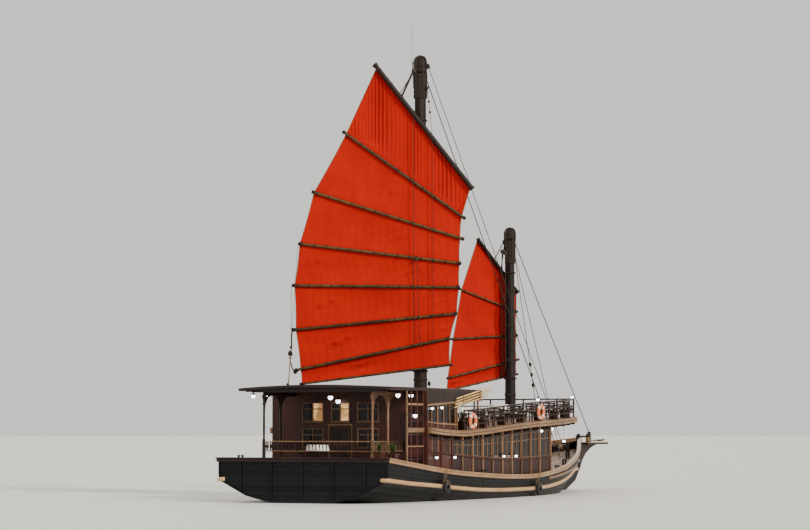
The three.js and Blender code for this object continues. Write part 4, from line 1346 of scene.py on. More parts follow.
@dataclass
class House:
    """The lower deckhouse: side walls of boards and sashes, and the two bulkheads."""

    aft: float = 4.4
    fore: float = 18.3
    half: float = 3.85
    first_window: float = 5.25
    last_window: float = 17.45
    pitch: float = 1.1
    sill: float = 0.82
    head: float = 0.18
    boarded: float = 7.4
    board: float = 0.135

    def posts(self) -> list[float]:
        """The places of the posts between the windows.

        Returns:
            Their places along the ship.
        """
        middles = steps(self.first_window, self.last_window, self.pitch)
        gap = middles[1] - middles[0]
        return [self.aft + 0.06, *[m + gap / 2 for m in middles[:-1]], self.fore - 0.06]

    def sill_at(self, d: float, y: float) -> float:
        """The height of the windows' foot."""
        return LINES.deck_z(d, y) + self.sill

    def head_at(self, d: float) -> float:
        """The height of the windows' head."""
        return LINES.upper_under(d) - self.head

    def wall(self, name: str, side: int) -> None:
        """One side wall, bay by bay.

        Args:
            name: port or starboard.
            side: 1 to port and -1 to starboard.
        """
        shape = Shape("house_side_" + name, HOUSE, POST, REDWOOD, GLASS)
        y = side * (self.half - 0.035)
        posts = self.posts()
        for d in posts:
            shape.post(
                d, y + side * 0.015, LINES.deck_z(d, y) - SUNK, LINES.upper_under(d), 0.1, 0.1, 0.014,
                1 if d > self.boarded else 2
            )
        for a, b in zip(posts, posts[1:]):
            self.bay(shape, y, side, a, b)
        for rise, wide, coat in ((0.06, 0.11, 0), (self.sill - 0.03, 0.13, 2)):
            path = [
                at(d, y + side * 0.02, LINES.deck_z(d, y) + rise) for d in steps(self.aft, self.fore, 0.6)
            ]
            shape.sweep(path, oblong(wide, 0.06, 0.012), side, coat)
        path = [at(d, y + side * 0.02, self.head_at(d)) for d in steps(self.aft, self.fore, 0.6)]
        shape.sweep(path, oblong(0.11, 0.06, 0.012), side, 0)
        shape.piece("ship", ["house_wall_" + name])

    def bay(self, shape: Shape, y: float, side: int, a: float, b: float) -> None:
        """Boards, a sash with its panes and a row of slats between two posts.

        Args:
            shape: the piece that it is part of.
            y: the distance to port.
            side: 1 to port and -1 to starboard.
            a: where it starts along the ship.
            b: where it ends along the ship.
        """
        middle = (a + b) / 2
        low, high = LINES.deck_z(middle, y) - SUNK, LINES.upper_under(middle)
        sill, head = low + self.sill + SUNK, high - self.head
        solid = b < self.boarded
        top = head if solid else sill
        boards = steps(a + 0.05, b - 0.05, self.board)
        for left, right in zip(boards, boards[1:]):
            centre = (left + right) / 2
            foot, crest = LINES.deck_z(centre, y) - SUNK, top + LINES.upper_under(centre) - high
            crest = crest if solid else self.sill_at(centre, y)
            shape.post(
                centre, y, foot, crest, right - left - 0.008, 0.03, 0.006,
                2 if solid or middle < self.boarded else 0, up=PORT
            )
        for i in range(1, 7):
            place = a + (b - a) * i / 7
            under = LINES.upper_under(place)
            shape.post(place, y, under - self.head, under, 0.03, 0.03, 0.006, up=PORT)
        if solid:
            louvre = at(middle, y + side * 0.03, (sill + head) / 2)
            for k in range(-3, 4):
                slat = louvre + UP * (k * 0.09)
                shape.timber(slat - AHEAD * 0.3, slat + AHEAD * 0.3, 0.014, 0.08, 0.004, 0)
            for x in (-0.32, 0.32):
                bar = louvre + AHEAD * x
                shape.timber(bar - UP * 0.36, bar + UP * 0.36, 0.05, 0.04, 0.008, 1, PORT)
            return
        left, right = a + 0.05, b - 0.05
        for place in (left + 0.03, middle, right - 0.03):
            wide = 0.05 if place != middle else 0.035
            rise = self.sill_at(place, y)
            drop = self.head_at(place)
            shape.post(place, y, rise, drop, wide, 0.045, 0.008, 1, up=PORT)
        for share in (0.04, 0.68, 0.96):
            ends = []
            for place in (left, right):
                rise, drop = self.sill_at(place, y), self.head_at(place)
                ends.append(at(place, y, rise + (drop - rise) * share))
            shape.timber(ends[0], ends[1], 0.04, 0.035, 0.008, 1)
        corners = [
            at(left, y, self.sill_at(left, y)), at(right, y, self.sill_at(right, y)),
            at(right, y, self.head_at(right)), at(left, y, self.head_at(left))
        ]
        shape.slab(corners, PORT * (-side * 0.006), 3)

    def bulkheads(self) -> None:
        """Boards, sashes and door frames on the fore and aft bulkheads."""
        coated("bulkhead_aft", replace(REDWOOD, name="aft_boards", boards=BULKHEAD_BOARDS))
        coated("bulkhead_fore", replace(HOUSE, name="fore_boards", wear=0.35, boards=BULKHEAD_BOARDS))
        aft_x, fore_x = self.aft - 0.0704, self.fore
        aft = [(-1.5, -0.45, 2.35, 3.2), (1.25, 2.3, 2.35, 3.2), (-1.5, -0.45, 3.5, 4.35),
               (-0.05, 0.85, 3.5, 4.35), (1.25, 2.3, 3.5, 4.35)]
        fore = [
            (-3.3, -2.4, 2.0, 3.05), (-2.1, -1.2, 2.0, 3.05), (1.2, 2.1, 2.0, 3.05), (2.4, 3.3, 2.0, 3.05)
        ]
        for name, x, outward, holes in (("aft", aft_x, -1, aft), ("fore", fore_x, 1, fore)):
            shape = Shape(f"bulkhead_{name}_windows", POST, GLASS, BLIND)
            for y0, y1, z0, z1 in holes:
                self.sash(shape, x, outward, y0, y1, z0, z1, 2 if y0 > -0.4 and z0 > 3.4 else 1)
            shape.piece("ship")
        door = Shape("bulkhead_door_frames", POST)
        for x, outward, (y0, y1, z0, z1) in (
            (aft_x, -1, (-0.16, 0.96, 1.74, 3.36)), (fore_x, 1, (-0.56, 0.56, 1.35, 3.14))):
            for y in (y0, y1):
                door.post(x + outward * 0.02, y, z0, z1, 0.07, 0.04)
            door.beam(x + outward * 0.02, y0 - 0.05, y1 + 0.05, z1, 0.048, 0.08)
        door.piece("ship")

    def sash(self, shape: Shape, x: float, outward: int, y0: float, y1: float, z0: float, z1: float,
             pane: int = 1) -> None:
        """A framed window in a bulkhead, with its panes.

        Args:
            shape: the piece that it is part of.
            x: the place of the bulkhead's face along the ship.
            outward: 1 facing forward and -1 facing aft.
            y0: its starboard edge.
            y1: its port edge.
            z0: its foot.
            z1: its head.
            pane: the coat of its starboard pane.
        """
        middle = (y0 + y1) / 2
        face = x + outward * 0.012
        for y in (y0 + 0.02, middle, y1 - 0.02):
            shape.post(face, y, z0, z1, 0.05, 0.05)
        for z in (z0 + 0.02, z0 + (z1 - z0) * 0.66, z1 - 0.02):
            shape.beam(face, y0, y1, z, 0.044, 0.045)
        shape.beam(face + outward * 0.03, y0 - 0.06, y1 + 0.06, z0 - 0.03, 0.1, 0.035)
        for a, b, coat in ((y0, middle, pane), (middle, y1, 1)):
            corners = [at(x - outward * 0.02, y, z) for y, z in ((a, z0), (b, z0), (b, z1), (a, z1))]
            shape.slab(corners, AHEAD * (-outward * 0.006), coat)

    def doors(self) -> None:
        """Panelled doors with strap hinges and pull handles."""
        for name, outward, hinge in (("aft", -1, 1), ("fore", 1, -1)):
            low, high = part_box("door_" + name)
            shape = Shape(f"panelled_door_{name}", REDWOOD, DARK_WOOD, IRON)
            x, waist = (low.x + high.x) / 2, (low.z + high.z) / 2
            for y in (low.y + 0.05, high.y - 0.05):
                shape.timber(Vector((x, y, low.z)), Vector((x, y, high.z)), 0.1, 0.05, 0.006, up=AHEAD)
            for z in (low.z + 0.07, waist, high.z - 0.05):
                shape.timber(Vector((x, low.y + 0.1, z)), Vector((x, high.y - 0.1, z)), 0.05, 0.13, 0.006)
            for a, b in ((low.z + 0.1, waist), (waist, high.z - 0.08)):
                for y in steps(low.y + 0.16, high.y - 0.16, 0.13):
                    shape.timber(Vector((x, y, a)), Vector((x, y, b)), 0.12, 0.026, 0.005, 1, AHEAD)
            edge = high.y if hinge > 0 else low.y
            for z in (low.z + 0.22, high.z - 0.2):
                start = Vector((x + outward * 0.022, edge, z))
                shape.timber(start, start - PORT * (hinge * 0.34), 0.01, 0.045, 0.003, 2)
            grip = Vector((x + outward * 0.022, edge - hinge * (high.y - low.y - 0.07), waist))
            shape.timber(grip - UP * 0.09, grip + UP * 0.09, 0.02, 0.006, 0.002, 2, AHEAD)
            shape.piece(name + "_door", ["door_" + name])

    def build(self) -> None:
        """Makes the lower house."""
        for name, side in SIDES.items():
            self.wall(name, side)
        self.bulkheads()
        self.doors()


@dataclass
class UpperDeck:
    """The upper deck's planks and mouldings, and the railing round it."""

    aft: float = 4.4
    fore: float = 22.9
    edge_lap: float = 0.02
    house_fore: float = 18.2
    house_half: float = 3.74
    rail_from: float = 8.12
    rail_to: float = 22.5
    inset: float = 0.11
    beads: tuple[float, float] = (-0.02, -0.225)
    bead_radius: float = 0.026
    height: float = 0.9
    post_pitch: float = 1.1
    spindle_pitch: float = 0.17
    lower_rails: tuple[float, float] = (0.33, 0.64)
    spindle_drop: float = 0.615
    spindle_height: float = 0.26

    def planks(self) -> None:
        """Planks laid fore and aft, beams below and mouldings along the edge."""
        coated("upper_deck", RAIL)
        shape = Shape("upper_deck_planks", DECKING)
        count = 34
        tones = shape.tones(count)
        rings = []
        for d in steps(self.aft + 0.05, self.fore - 0.05, 0.8):
            half, z = LINES.upper_edge(d) - 0.06, LINES.upper_top(d)
            ring = []
            for k in range(count):
                a, b = (half * (2 * j / count - 1) for j in (k, k + 1))
                ring += [at(d, a, z + 0.008), at(d, a + 0.006, z + 0.018), at(d, b - 0.006, z + 0.018)]
            rings.append([*ring, at(d, half, z + 0.008), at(d, half, z - 0.01), at(d, -half, z - 0.01)])
        shape.skin(rings, shades=[tones[min(i // 3, count - 1)] for i in range(3 * count + 3)])
        shape.piece("ship")
        beams = Shape("upper_deck_beams", DARK_BEAM)
        for d in steps(5.0, 22.4, 1.1):
            half, z = LINES.upper_edge(d) - 0.02, LINES.upper_under(d) - 0.05
            inner = self.house_half if d < self.house_fore else half
            beams.beam(d, -inner, inner, z, 0.09, 0.1, 0.012)
        beams.piece("ship")
        trim = Shape("upper_deck_mouldings", RAIL, DARK_WOOD)
        bead = [(a + 0.004, b) for a, b in circle(self.bead_radius, 8)]
        for side in SIDES.values():
            for offset, coat in (*((offset, 0) for offset in self.beads), (-0.125, 1)):
                path = [at(d, side * LINES.upper_edge(d), LINES.upper_top(d) + offset)
                        for d in steps(self.aft + self.edge_lap, self.fore - self.edge_lap, 0.5)]
                trim.sweep(path, bead if coat == 0 else oblong(0.02, 0.03, 0.006), side, coat)
        for d in (self.aft, self.fore):
            for offset in self.beads:
                half, z = LINES.upper_edge(d), LINES.upper_top(d) + offset
                trim.tube([at(d, -half, z), at(d, half, z)], self.bead_radius, 8)
        trim.piece("ship")

    def edge(self, d: float) -> float:
        """The railing's distance from the middle line."""
        return LINES.smooth(LINES.upper, 1, d) - self.inset

    def spindle(self, shape: Shape, foot: Vector, height: float) -> None:
        """A small turned spindle.

        Args:
            shape: the piece that it is part of.
            foot: the middle of its foot.
            height: its height.
        """
        r = 0.017
        profile = [
            (r * 0.7, 0), (r, 0.02), (r * 0.55, 0.05), (r * 1.25, height * 0.4), (r * 1.25, height * 0.55),
            (r * 0.55, height - 0.05), (r, height - 0.02), (r * 0.7, height)
        ]
        shape.turned(foot, profile, 6)

    def railing(self) -> None:
        """Posts with collars, a rounded top rail and two lower rails with spindles."""
        top = [(-0.05, -0.03), (0.05, -0.03), (0.055, 0.0), (0.045, 0.025), (0.02, 0.04), (-0.02, 0.04),
               (-0.045, 0.025), (-0.055, 0.0)]
        posts = steps(self.rail_from, self.rail_to, self.post_pitch)
        for name, side in SIDES.items():
            shape = Shape("railing_joinery_" + name, DARK_WOOD, HOUSE)
            for d in posts:
                self.post(shape, at(d, side * self.edge(d), LINES.upper_top(d)))
            low = oblong(0.06, 0.05, 0.012)
            for drop, section in ((0, top), *((drop, low) for drop in self.lower_rails)):
                path = [at(d, side * self.edge(d), LINES.upper_top(d) + self.height - drop) for d in posts]
                shape.sweep(path, section, side, 0)
            for a, b in zip(posts, posts[1:]):
                for place in steps(a, b, self.spindle_pitch)[1:-1]:
                    share = (place - a) / (b - a)
                    low, high = (
                        at(d, side * self.edge(d), LINES.upper_top(d) + self.height - self.spindle_drop)
                        for d in (a, b)
                    )
                    self.spindle(shape, low.lerp(high, share), self.spindle_height)
            shape.piece("ship", ["railing_" + name])
        shape = Shape("railing_joinery_fore", DARK_WOOD, HOUSE)
        d = self.fore - 0.1
        half, z = self.edge(d - 0.1) - 0.06, LINES.upper_top(d)
        ys = steps(-half + 0.03, half - 0.03, 0.9)
        for y in ys:
            self.post(shape, at(d, y, z))
        path = [at(d, y, z + self.height) for y in (half, -half)]
        shape.sweep(path, top)
        for drop in self.lower_rails:
            shape.beam(d, -half, half, z + self.height - drop, 0.05, 0.05)
        for a, b in zip(ys, ys[1:]):
            for y in steps(a, b, self.spindle_pitch)[1:-1]:
                self.spindle(shape, at(d, y, z + self.height - self.spindle_drop), self.spindle_height)
        shape.piece("ship", ["railing_fore"])

    def post(self, shape: Shape, foot: Vector) -> None:
        """A square railing post with a collar and a cap.

        Args:
            shape: the piece that it is part of.
            foot: the middle of its foot.
        """
        shape.timber(foot - UP * 0.06, foot + UP * (self.height - 0.02), 0.065, 0.065, 0.01, 1, AHEAD)
        for z in (0.02, self.height - 0.2):
            shape.timber(foot + UP * z, foot + UP * (z + 0.035), 0.085, 0.085, 0.01, 1, AHEAD)

    def build(self) -> None:
        """Makes the upper deck's pieces."""
        self.planks()
        self.railing()


@dataclass
class UpperCabin:
    """The cabin on the upper deck under the roof."""

    aft: float = 4.4
    fore: float = 8.0
    half: float = 3.62
    pitch: float = 0.62
    top: float = 4.56
    post_place: float = 10.3
    post_half: float = 3.575
    sill: float = 0.26

    def build(self) -> None:
        """Makes both side walls, the fore bulkhead's sashes and the roof posts."""
        for name, side in SIDES.items():
            shape = Shape("cabin_side_" + name, REDWOOD, POST, GLASS, RAIL)
            y = side * (self.half - 0.03)
            middles = steps(self.aft + 0.56, self.fore - 0.56, self.pitch)
            gap = middles[1] - middles[0]
            posts = [
                self.aft + 0.08, *[m - gap / 2 for m in middles], middles[-1] + gap / 2, self.fore - 0.05
            ]
            for d in posts:
                shape.post(d, y, LINES.upper_top(d), CEILING, 0.09, 0.08, 0.012, 1)
            for a, b in zip(posts, posts[1:]):
                self.bay(shape, y, side, a, b)
            for rise, coat in ((0.05, 0), (self.sill + 0.01, 3)):
                path = [
                    at(d, y + side * 0.01, LINES.upper_top(d) + rise)
                    for d in steps(self.aft, self.fore, 0.6)
                ]
                shape.sweep(path, oblong(0.09, 0.05, 0.01), side, coat)
            shape.plank(self.aft, self.fore, y, self.top + 0.03, 0.08, 0.06)
            shape.plank(self.aft, self.fore, y, 4.8, 0.08, 0.1)
            shape.piece("ship", ["upper_wall_" + name])
            post = Shape("roof_post_" + name + "_turned", POST)
            centre = at(self.post_place, side * self.post_half, LINES.upper_top(self.post_place))
            high = Roof().edge - centre.z
            post.timber(centre, centre + UP * 0.95, 0.11, 0.11, 0.014, up=AHEAD)
            post.turned(centre, [(0.05, 0.94), (0.062, 0.98), (0.04, 1.03), (0.05, 1.2), (0.04, high - 0.2),
                                 (0.062, high - 0.14), (0.05, high - 0.1)], 12)
            post.timber(centre + UP * (high - 0.12), centre + UP * high, 0.11, 0.11, 0.014, up=AHEAD)
            post.piece("ship", ["roof_post_" + name])
        coated("upper_bulkhead", replace(REDWOOD, name="cabin_boards", boards=BULKHEAD_BOARDS))
        front = Shape("cabin_front_windows", POST, GLASS)
        house = House()
        for y0, y1 in ((-3.0, -2.05), (-1.95, -1.0), (1.0, 1.95), (2.05, 3.0)):
            house.sash(front, self.fore, 1, y0, y1, 3.5, self.top)
        front.piece("ship")

    def bay(self, shape: Shape, y: float, side: int, a: float, b: float) -> None:
        """A low panel, a sash and a pane between two posts.

        Args:
            shape: the piece that it is part of.
            y: the distance to port.
            side: 1 to port and -1 to starboard.
            a: where it starts along the ship.
            b: where it ends along the ship.
        """
        middle = (a + b) / 2
        low = LINES.upper_top(middle)
        sill = low + self.sill
        shape.post(middle, y, low, sill, b - a - 0.07, 0.03, 0.006, up=PORT)
        shape.post(middle, y, self.top, CEILING, b - a - 0.05, 0.03, 0.006, up=PORT)
        if b - a < 0.4:
            shape.post(middle, y, sill, self.top, b - a - 0.07, 0.03, 0.006, up=PORT)
            return
        for z in (sill + 0.05, sill + (self.top - sill) * 0.7, self.top - 0.02):
            shape.plank(a + 0.04, b - 0.04, y, z, 0.04, 0.035, 0.008, 1)
        corners = [at(d, y, z) for d, z in ((a, sill), (b, sill), (b, self.top), (a, self.top))]
        shape.slab(corners, PORT * (-side * 0.006), 2)


@dataclass
class Roof:
    """The cambered roof over the cabin and the stern, with its eaves and beams."""

    aft: float = 1.0
    fore: float = 10.5
    half: float = 3.7
    edge: float = 4.84
    rise: float = 0.13
    thickness: float = 0.09
    house_end: float = 4.46

    def height(self, y: float) -> float:
        """The height of the roof's underside."""
        return self.edge + self.rise * (1 - (y / self.half) ** 2)

    def batten_z(self, d: float) -> float:
        """The height of the batten that closes the eave's slats."""
        return 4.205 + 0.3 * (d - self.house_end) / (self.fore - self.house_end)

    def build(self) -> None:
        """Makes the laid boards, the eave trims and battens, and the beams below."""
        coated("roof", DARK_WOOD)
        shape = Shape("roof_boards_laid", ROOF_BOARDS)
        count, laid = 30, self.half * 0.99
        tones = shape.tones(count)
        rings = []
        for d in steps(self.aft + 0.03, self.fore - 0.03, 1.2):
            ring = []
            for k in range(count):
                a, b = (laid * (2 * j / count - 1) for j in (k, k + 1))
                for y, lift in ((a, 0.004), (a + 0.01, 0.02), (b - 0.01, 0.02)):
                    ring.append(at(d, y, self.height(y) + self.thickness + lift))
            ring.append(at(d, laid, self.height(laid) + self.thickness + 0.004))
            ring += [at(d, y, self.height(y) + self.thickness - 0.01) for y in steps(3.6, -3.6, 1.2)]
            rings.append(ring)
        shape.skin(rings, shades=[tones[min(i // 3, count - 1)] for i in range(len(rings[0]))])
        shape.piece("ship")
        trim = Shape("roof_edges", DARK_WOOD, RAIL)
        for side in (-1, 1):
            low = self.edge + 0.045
            path = [at(d, side * (self.half - 0.014), low) for d in (self.aft, self.house_end, self.fore)]
            trim.sweep(path, oblong(0.04, 0.12, 0.01), side, 0)
            batten = [at(d, side * self.half, self.batten_z(d)) for d in (self.house_end, self.fore)]
            trim.sweep(
                batten,
                [
                    (-0.045, -0.048), (0.012, -0.048), (0.024, -0.02), (0.024, 0.02), (0.012, 0.045),
                    (-0.045, 0.045)
                ], side, 1
            )
            for d in steps(4.6, self.fore - 0.1, 0.6):
                foot = self.batten_z(d) + 0.045
                trim.post(d, side * (self.half - 0.005), foot, self.edge, 0.05, 0.02, 0.006, up=PORT)
        for d in (self.aft + 0.014, self.fore - 0.014):
            path = [at(d, y, self.height(y) + 0.045) for y in steps(-self.half, self.half, 0.5)]
            trim.sweep(path, oblong(0.04, 0.12, 0.01))
        for d in steps(self.aft + 0.5, self.fore - 0.5, 1.2):
            path = [at(d, y, self.height(y) - 0.03) for y in steps(-self.half + 0.1, self.half - 0.1, 0.5)]
            trim.sweep(path, oblong(0.06, 0.07, 0.01))
        trim.piece("ship")


@dataclass
class Shelter:
    """The stern shelter: posts, arched brackets, beams and a railing with turned balusters."""

    post_places: tuple[float, float] = (1.4, 2.9)
    y: float = 2.65
    beam: float = 4.62
    rail: float = 2.65
    arch: float = 0.62
    end: float = 4.29
    low_rail: float = 0.42
    baluster_pitch: float = 0.17

    def bracket(self, shape: Shape, d: float, y: float, way: int) -> None:
        """A quarter-round bracket between a post and the beam.

        Args:
            shape: the piece that it is part of.
            d: the post's place along the ship.
            y: the distance to port.
            way: 1 forward of the post and -1 aft of it.
        """
        start = d + way * 0.055
        curve = [math.radians(a) for a in range(0, 91, 9)]
        inner = [
            at(
                start + way * self.arch * (1 - math.cos(a)), y,
                self.beam - self.arch + self.arch * math.sin(a)
            ) for a in curve
        ]
        outer = [at(start + way * (self.arch * (1 - math.cos(a)) - 0.06 * math.cos(a)), y,
                    self.beam - self.arch + (self.arch + 0.05) * math.sin(a)) for a in curve]
        rings = [[p + PORT * s for p, s in ((i, -0.03), (i, 0.03), (o, 0.03), (o, -0.03))]
                 for i, o in zip(inner, outer)]
        shape.skin(rings)
        web = [at(start + way * 0.02, y, self.beam - 0.42), at(start + way * 0.16, y, self.beam - 0.16),
               at(start + way * 0.42, y, self.beam - 0.02), at(start + way * 0.02, y, self.beam - 0.02)]
        shape.slab([p - PORT * 0.012 for p in web], PORT * 0.024)

    def column(self, shape: Shape, d: float, y: float, coat: int) -> None:
        """A post with a square foot, a turned shaft and a capital.

        Args:
            shape: the piece that it is part of.
            d: the place along the ship.
            y: the distance to port.
            coat: the finish's number.
        """
        foot = at(d, y, LINES.deck_z(d, y) - SUNK)
        high = self.beam - foot.z
        shape.timber(foot, foot + UP * 0.9, 0.125, 0.125, 0.015, coat, AHEAD)
        profile = [
            (0.05, 0.88), (0.068, 0.92), (0.068, 0.95), (0.045, 1.0), (0.052, 1.4), (0.045, high - 0.42),
            (0.066, high - 0.36), (0.066, high - 0.33), (0.05, high - 0.28), (0.075, high - 0.08),
            (0.08, high - 0.02)
        ]
        shape.turned(foot, profile, 14, coat=coat)
        shape.timber(foot + UP * (high - 0.1), foot + UP * (high + 0.02), 0.15, 0.15, 0.015, coat, AHEAD)

    def baluster(self, shape: Shape, foot: Vector, scale: float = 1) -> None:
        """A turned baluster, 0.36 m high times the scale.

        Args:
            shape: the piece that it is part of.
            foot: the middle of its foot.
            scale: how much taller it is.
        """
        profile = [(0.018, 0), (0.024, 0.03), (0.014, 0.06), (0.028, 0.14), (0.03, 0.19), (0.014, 0.3),
                   (0.024, 0.33), (0.018, 0.36)]
        shape.turned(foot, [(r, h * scale) for r, h in profile], 8)

    def screen(self) -> None:
        """The open screen on the starboard side, from the house's corner to under the roof's edge."""
        shape = Shape("side_screen", REDWOOD, RAIL, DARK_WOOD)
        start, end, y = 2.7, 4.36, -3.655
        for d in (start, 3.1, 3.7, 4.33):
            shape.post(d, y, LINES.deck_z(d, y) - SUNK, CEILING, 0.075, 0.075, 0.012, int(d == start))
        for z, wide, high, coat in (
            (4.24, 0.05, 0.09, 1), (3.12, 0.12, 0.2, 1), (2.93, 0.05, 0.1, 2), (2.42, 0.07, 0.06, 1),
            (1.86, 0.05, 0.06, 2), (3.48, 0.05, 0.05, 2), (3.82, 0.06, 0.05, 2)
        ):
            shape.plank(start, end, y, z, wide, high, 0.01, coat)
        for d in steps(start, end, 0.14)[1:-1]:
            self.baluster(shape, at(d, y, 1.96), 1.25)
            self.baluster(shape, at(d, y, 3.49), 0.9)
        shape.piece("ship")

    def build(self) -> None:
        """Makes the two side frames, the stern rail and the side screen."""
        end, start = self.end, self.post_places[0] - 0.055
        handrail = [
            (-0.04, -0.04), (0.04, -0.04), (0.045, -0.015), (0.03, 0.0), (-0.03, 0.0), (-0.045, -0.015)
        ]
        for name, side in SIDES.items():
            # The starboard frame gets pale posts and the port frame dark wood: one frame as lit and shaded
            # copies, painted light and shade.
            shape = Shape("shelter_frame_" + name, POST if side < 0 else DARK_WOOD, RAIL)
            y = side * self.y
            for d in self.post_places:
                self.column(shape, d, y, 0)
            shape.plank(start, end, y, self.beam + 0.06, 0.09, 0.12, 0.012)
            shape.plank(start, end, y, self.beam + 0.15, 0.06, 0.07, 0.012)
            for d, way in ((self.post_places[0], 1), (self.post_places[1], -1), (self.post_places[1], 1)):
                self.bracket(shape, d, y, way)
            for z in (self.rail, self.rail - self.low_rail):
                shape.sweep([at(d, y, z) for d in (start, end)], handrail, side, 1)
            for d in steps(1.62, 4.2, self.baluster_pitch):
                if min(abs(d - p) for p in self.post_places) > 0.09:
                    self.baluster(shape, at(d, y, self.rail - self.low_rail + 0.01))
            shape.piece("ship", ["canopy_frame_" + name])
        rail = Shape("stern_railing", DARK_WOOD, RAIL)
        half = self.y - 0.06
        for z in (self.rail, self.rail - self.low_rail):
            rail.sweep([at(self.post_places[0], y, z) for y in (half, -half)], handrail, 1, 1)
        for y in steps(-half + 0.12, half - 0.12, self.baluster_pitch):
            self.baluster(rail, at(self.post_places[0], y, self.rail - self.low_rail + 0.01))
        rail.piece("ship", ["stern_rail"])
        self.screen()


@dataclass
class Mast:
    """A pole mast with iron hoops, rope bands, wedges at the deck and a capped head."""

    name: str
    place: float
    foot: float
    head: float
    top: float
    cap: float
    tip: float
    turns: int = 24
    rope_pitch: float = 0.048
    wedges: int = 14

    def radius(self, z: float) -> float:
        """The pole's radius at a height."""
        base = LINES.deck_at(self.place)[1] - 0.06
        return self.foot + (self.head - self.foot) * (z - base) / (self.top - base)

    def build(self) -> None:
        """Makes the mast's piece."""
        shape = Shape(self.name + "_pole", MAST, IRON, DARK_WOOD, TARRED)
        base = LINES.deck_z(self.place)
        levels = steps(base, self.top, 0.6)
        centre = at(self.place, 0, 0)
        shape.turned(centre, [(self.radius(z) * 0.995, z) for z in levels], 40)
        head = [
            (self.head * 0.9, self.top - 0.02), (self.cap * 0.93, self.top + 0.05),
            (self.cap, self.top + 0.09), (self.cap, self.tip - 0.36), (self.cap * 0.9, self.tip - 0.25),
            (self.cap * 0.72, self.tip - 0.16), (self.cap * 0.46, self.tip - 0.09),
            (self.cap * 0.3, self.tip - 0.07), (0.05, self.tip - 0.02), (0.0, self.tip)
        ]
        shape.turned(centre, head, 32, coat=2)
        for z in (self.top - 0.35, self.top + 0.16, self.tip - 0.36):
            r = self.cap if z > self.top else self.radius(z)
            shape.turned(centre, [(r * 0.97, z - 0.035), (r + 0.012, z - 0.03), (r + 0.012, z + 0.03),
                                  (r * 0.97, z + 0.035)], 32, coat=1)
        for z in self.bands():
            for k in range(5):
                shape.ring(centre + UP * (z + 0.03 * k), UP, self.radius(z) + 0.008, 0.015, 6, 32, 3)
        self.strops(shape, centre)
        deck = LINES.upper_top(self.place)
        for level in (base, deck):
            r = self.radius(level)
            for i in range(self.wedges):
                out = heading(math.tau * i / self.wedges)
                shape.timber(
                    centre + out * (r + 0.03) + UP * (level + 0.02),
                    centre + out * (r + 0.01) + UP * (level + 0.16), 0.11, 0.05, 0.01, 2, out
                )
        shape.piece("ship", [self.name])

    def strops(self, shape: Shape, centre: Vector) -> None:
        """Turns of rope under the cap, and the strops that hang over its sides.

        Args:
            shape: the piece that it is part of.
            centre: the mast's axis at the waterline.
        """
        for k in range(self.turns):
            shape.ring(centre + UP * (self.top - 0.04 - self.rope_pitch * k), UP,
                       self.head + 0.022 + 0.009 * (k * 7 % 4), 0.027, 6, 28, 3)
        for turn in (0.5, 1.5, 1.75, 2.9, 4.0, 4.75, 5.6):
            out = heading(turn)
            drop = 0.75 + 0.35 * math.sin(turn * 7)
            path = [
                centre + out * r + UP * z
                for r, z in (
                    (self.cap * 0.4, self.tip - 0.06), (self.cap * 0.76, self.tip - 0.13),
                    (self.cap * 0.98, self.tip - 0.25), (self.cap + 0.012, self.tip - 0.36),
                    (self.cap + 0.012, self.top + 0.09), (self.head + 0.07, self.top - 0.06),
                    (self.head + 0.06, self.top - drop), (self.head - 0.02, self.top - drop - 0.12)
                )
            ]
            shape.tube(path, 0.032, 6, 3)

    def bands(self) -> list[float]:
        """The heights of the rope bands, clear of the hoops that turn on the mast."""
        return steps(LINES.upper_top(self.place) + 1.1, self.top - 0.9, 1.9)


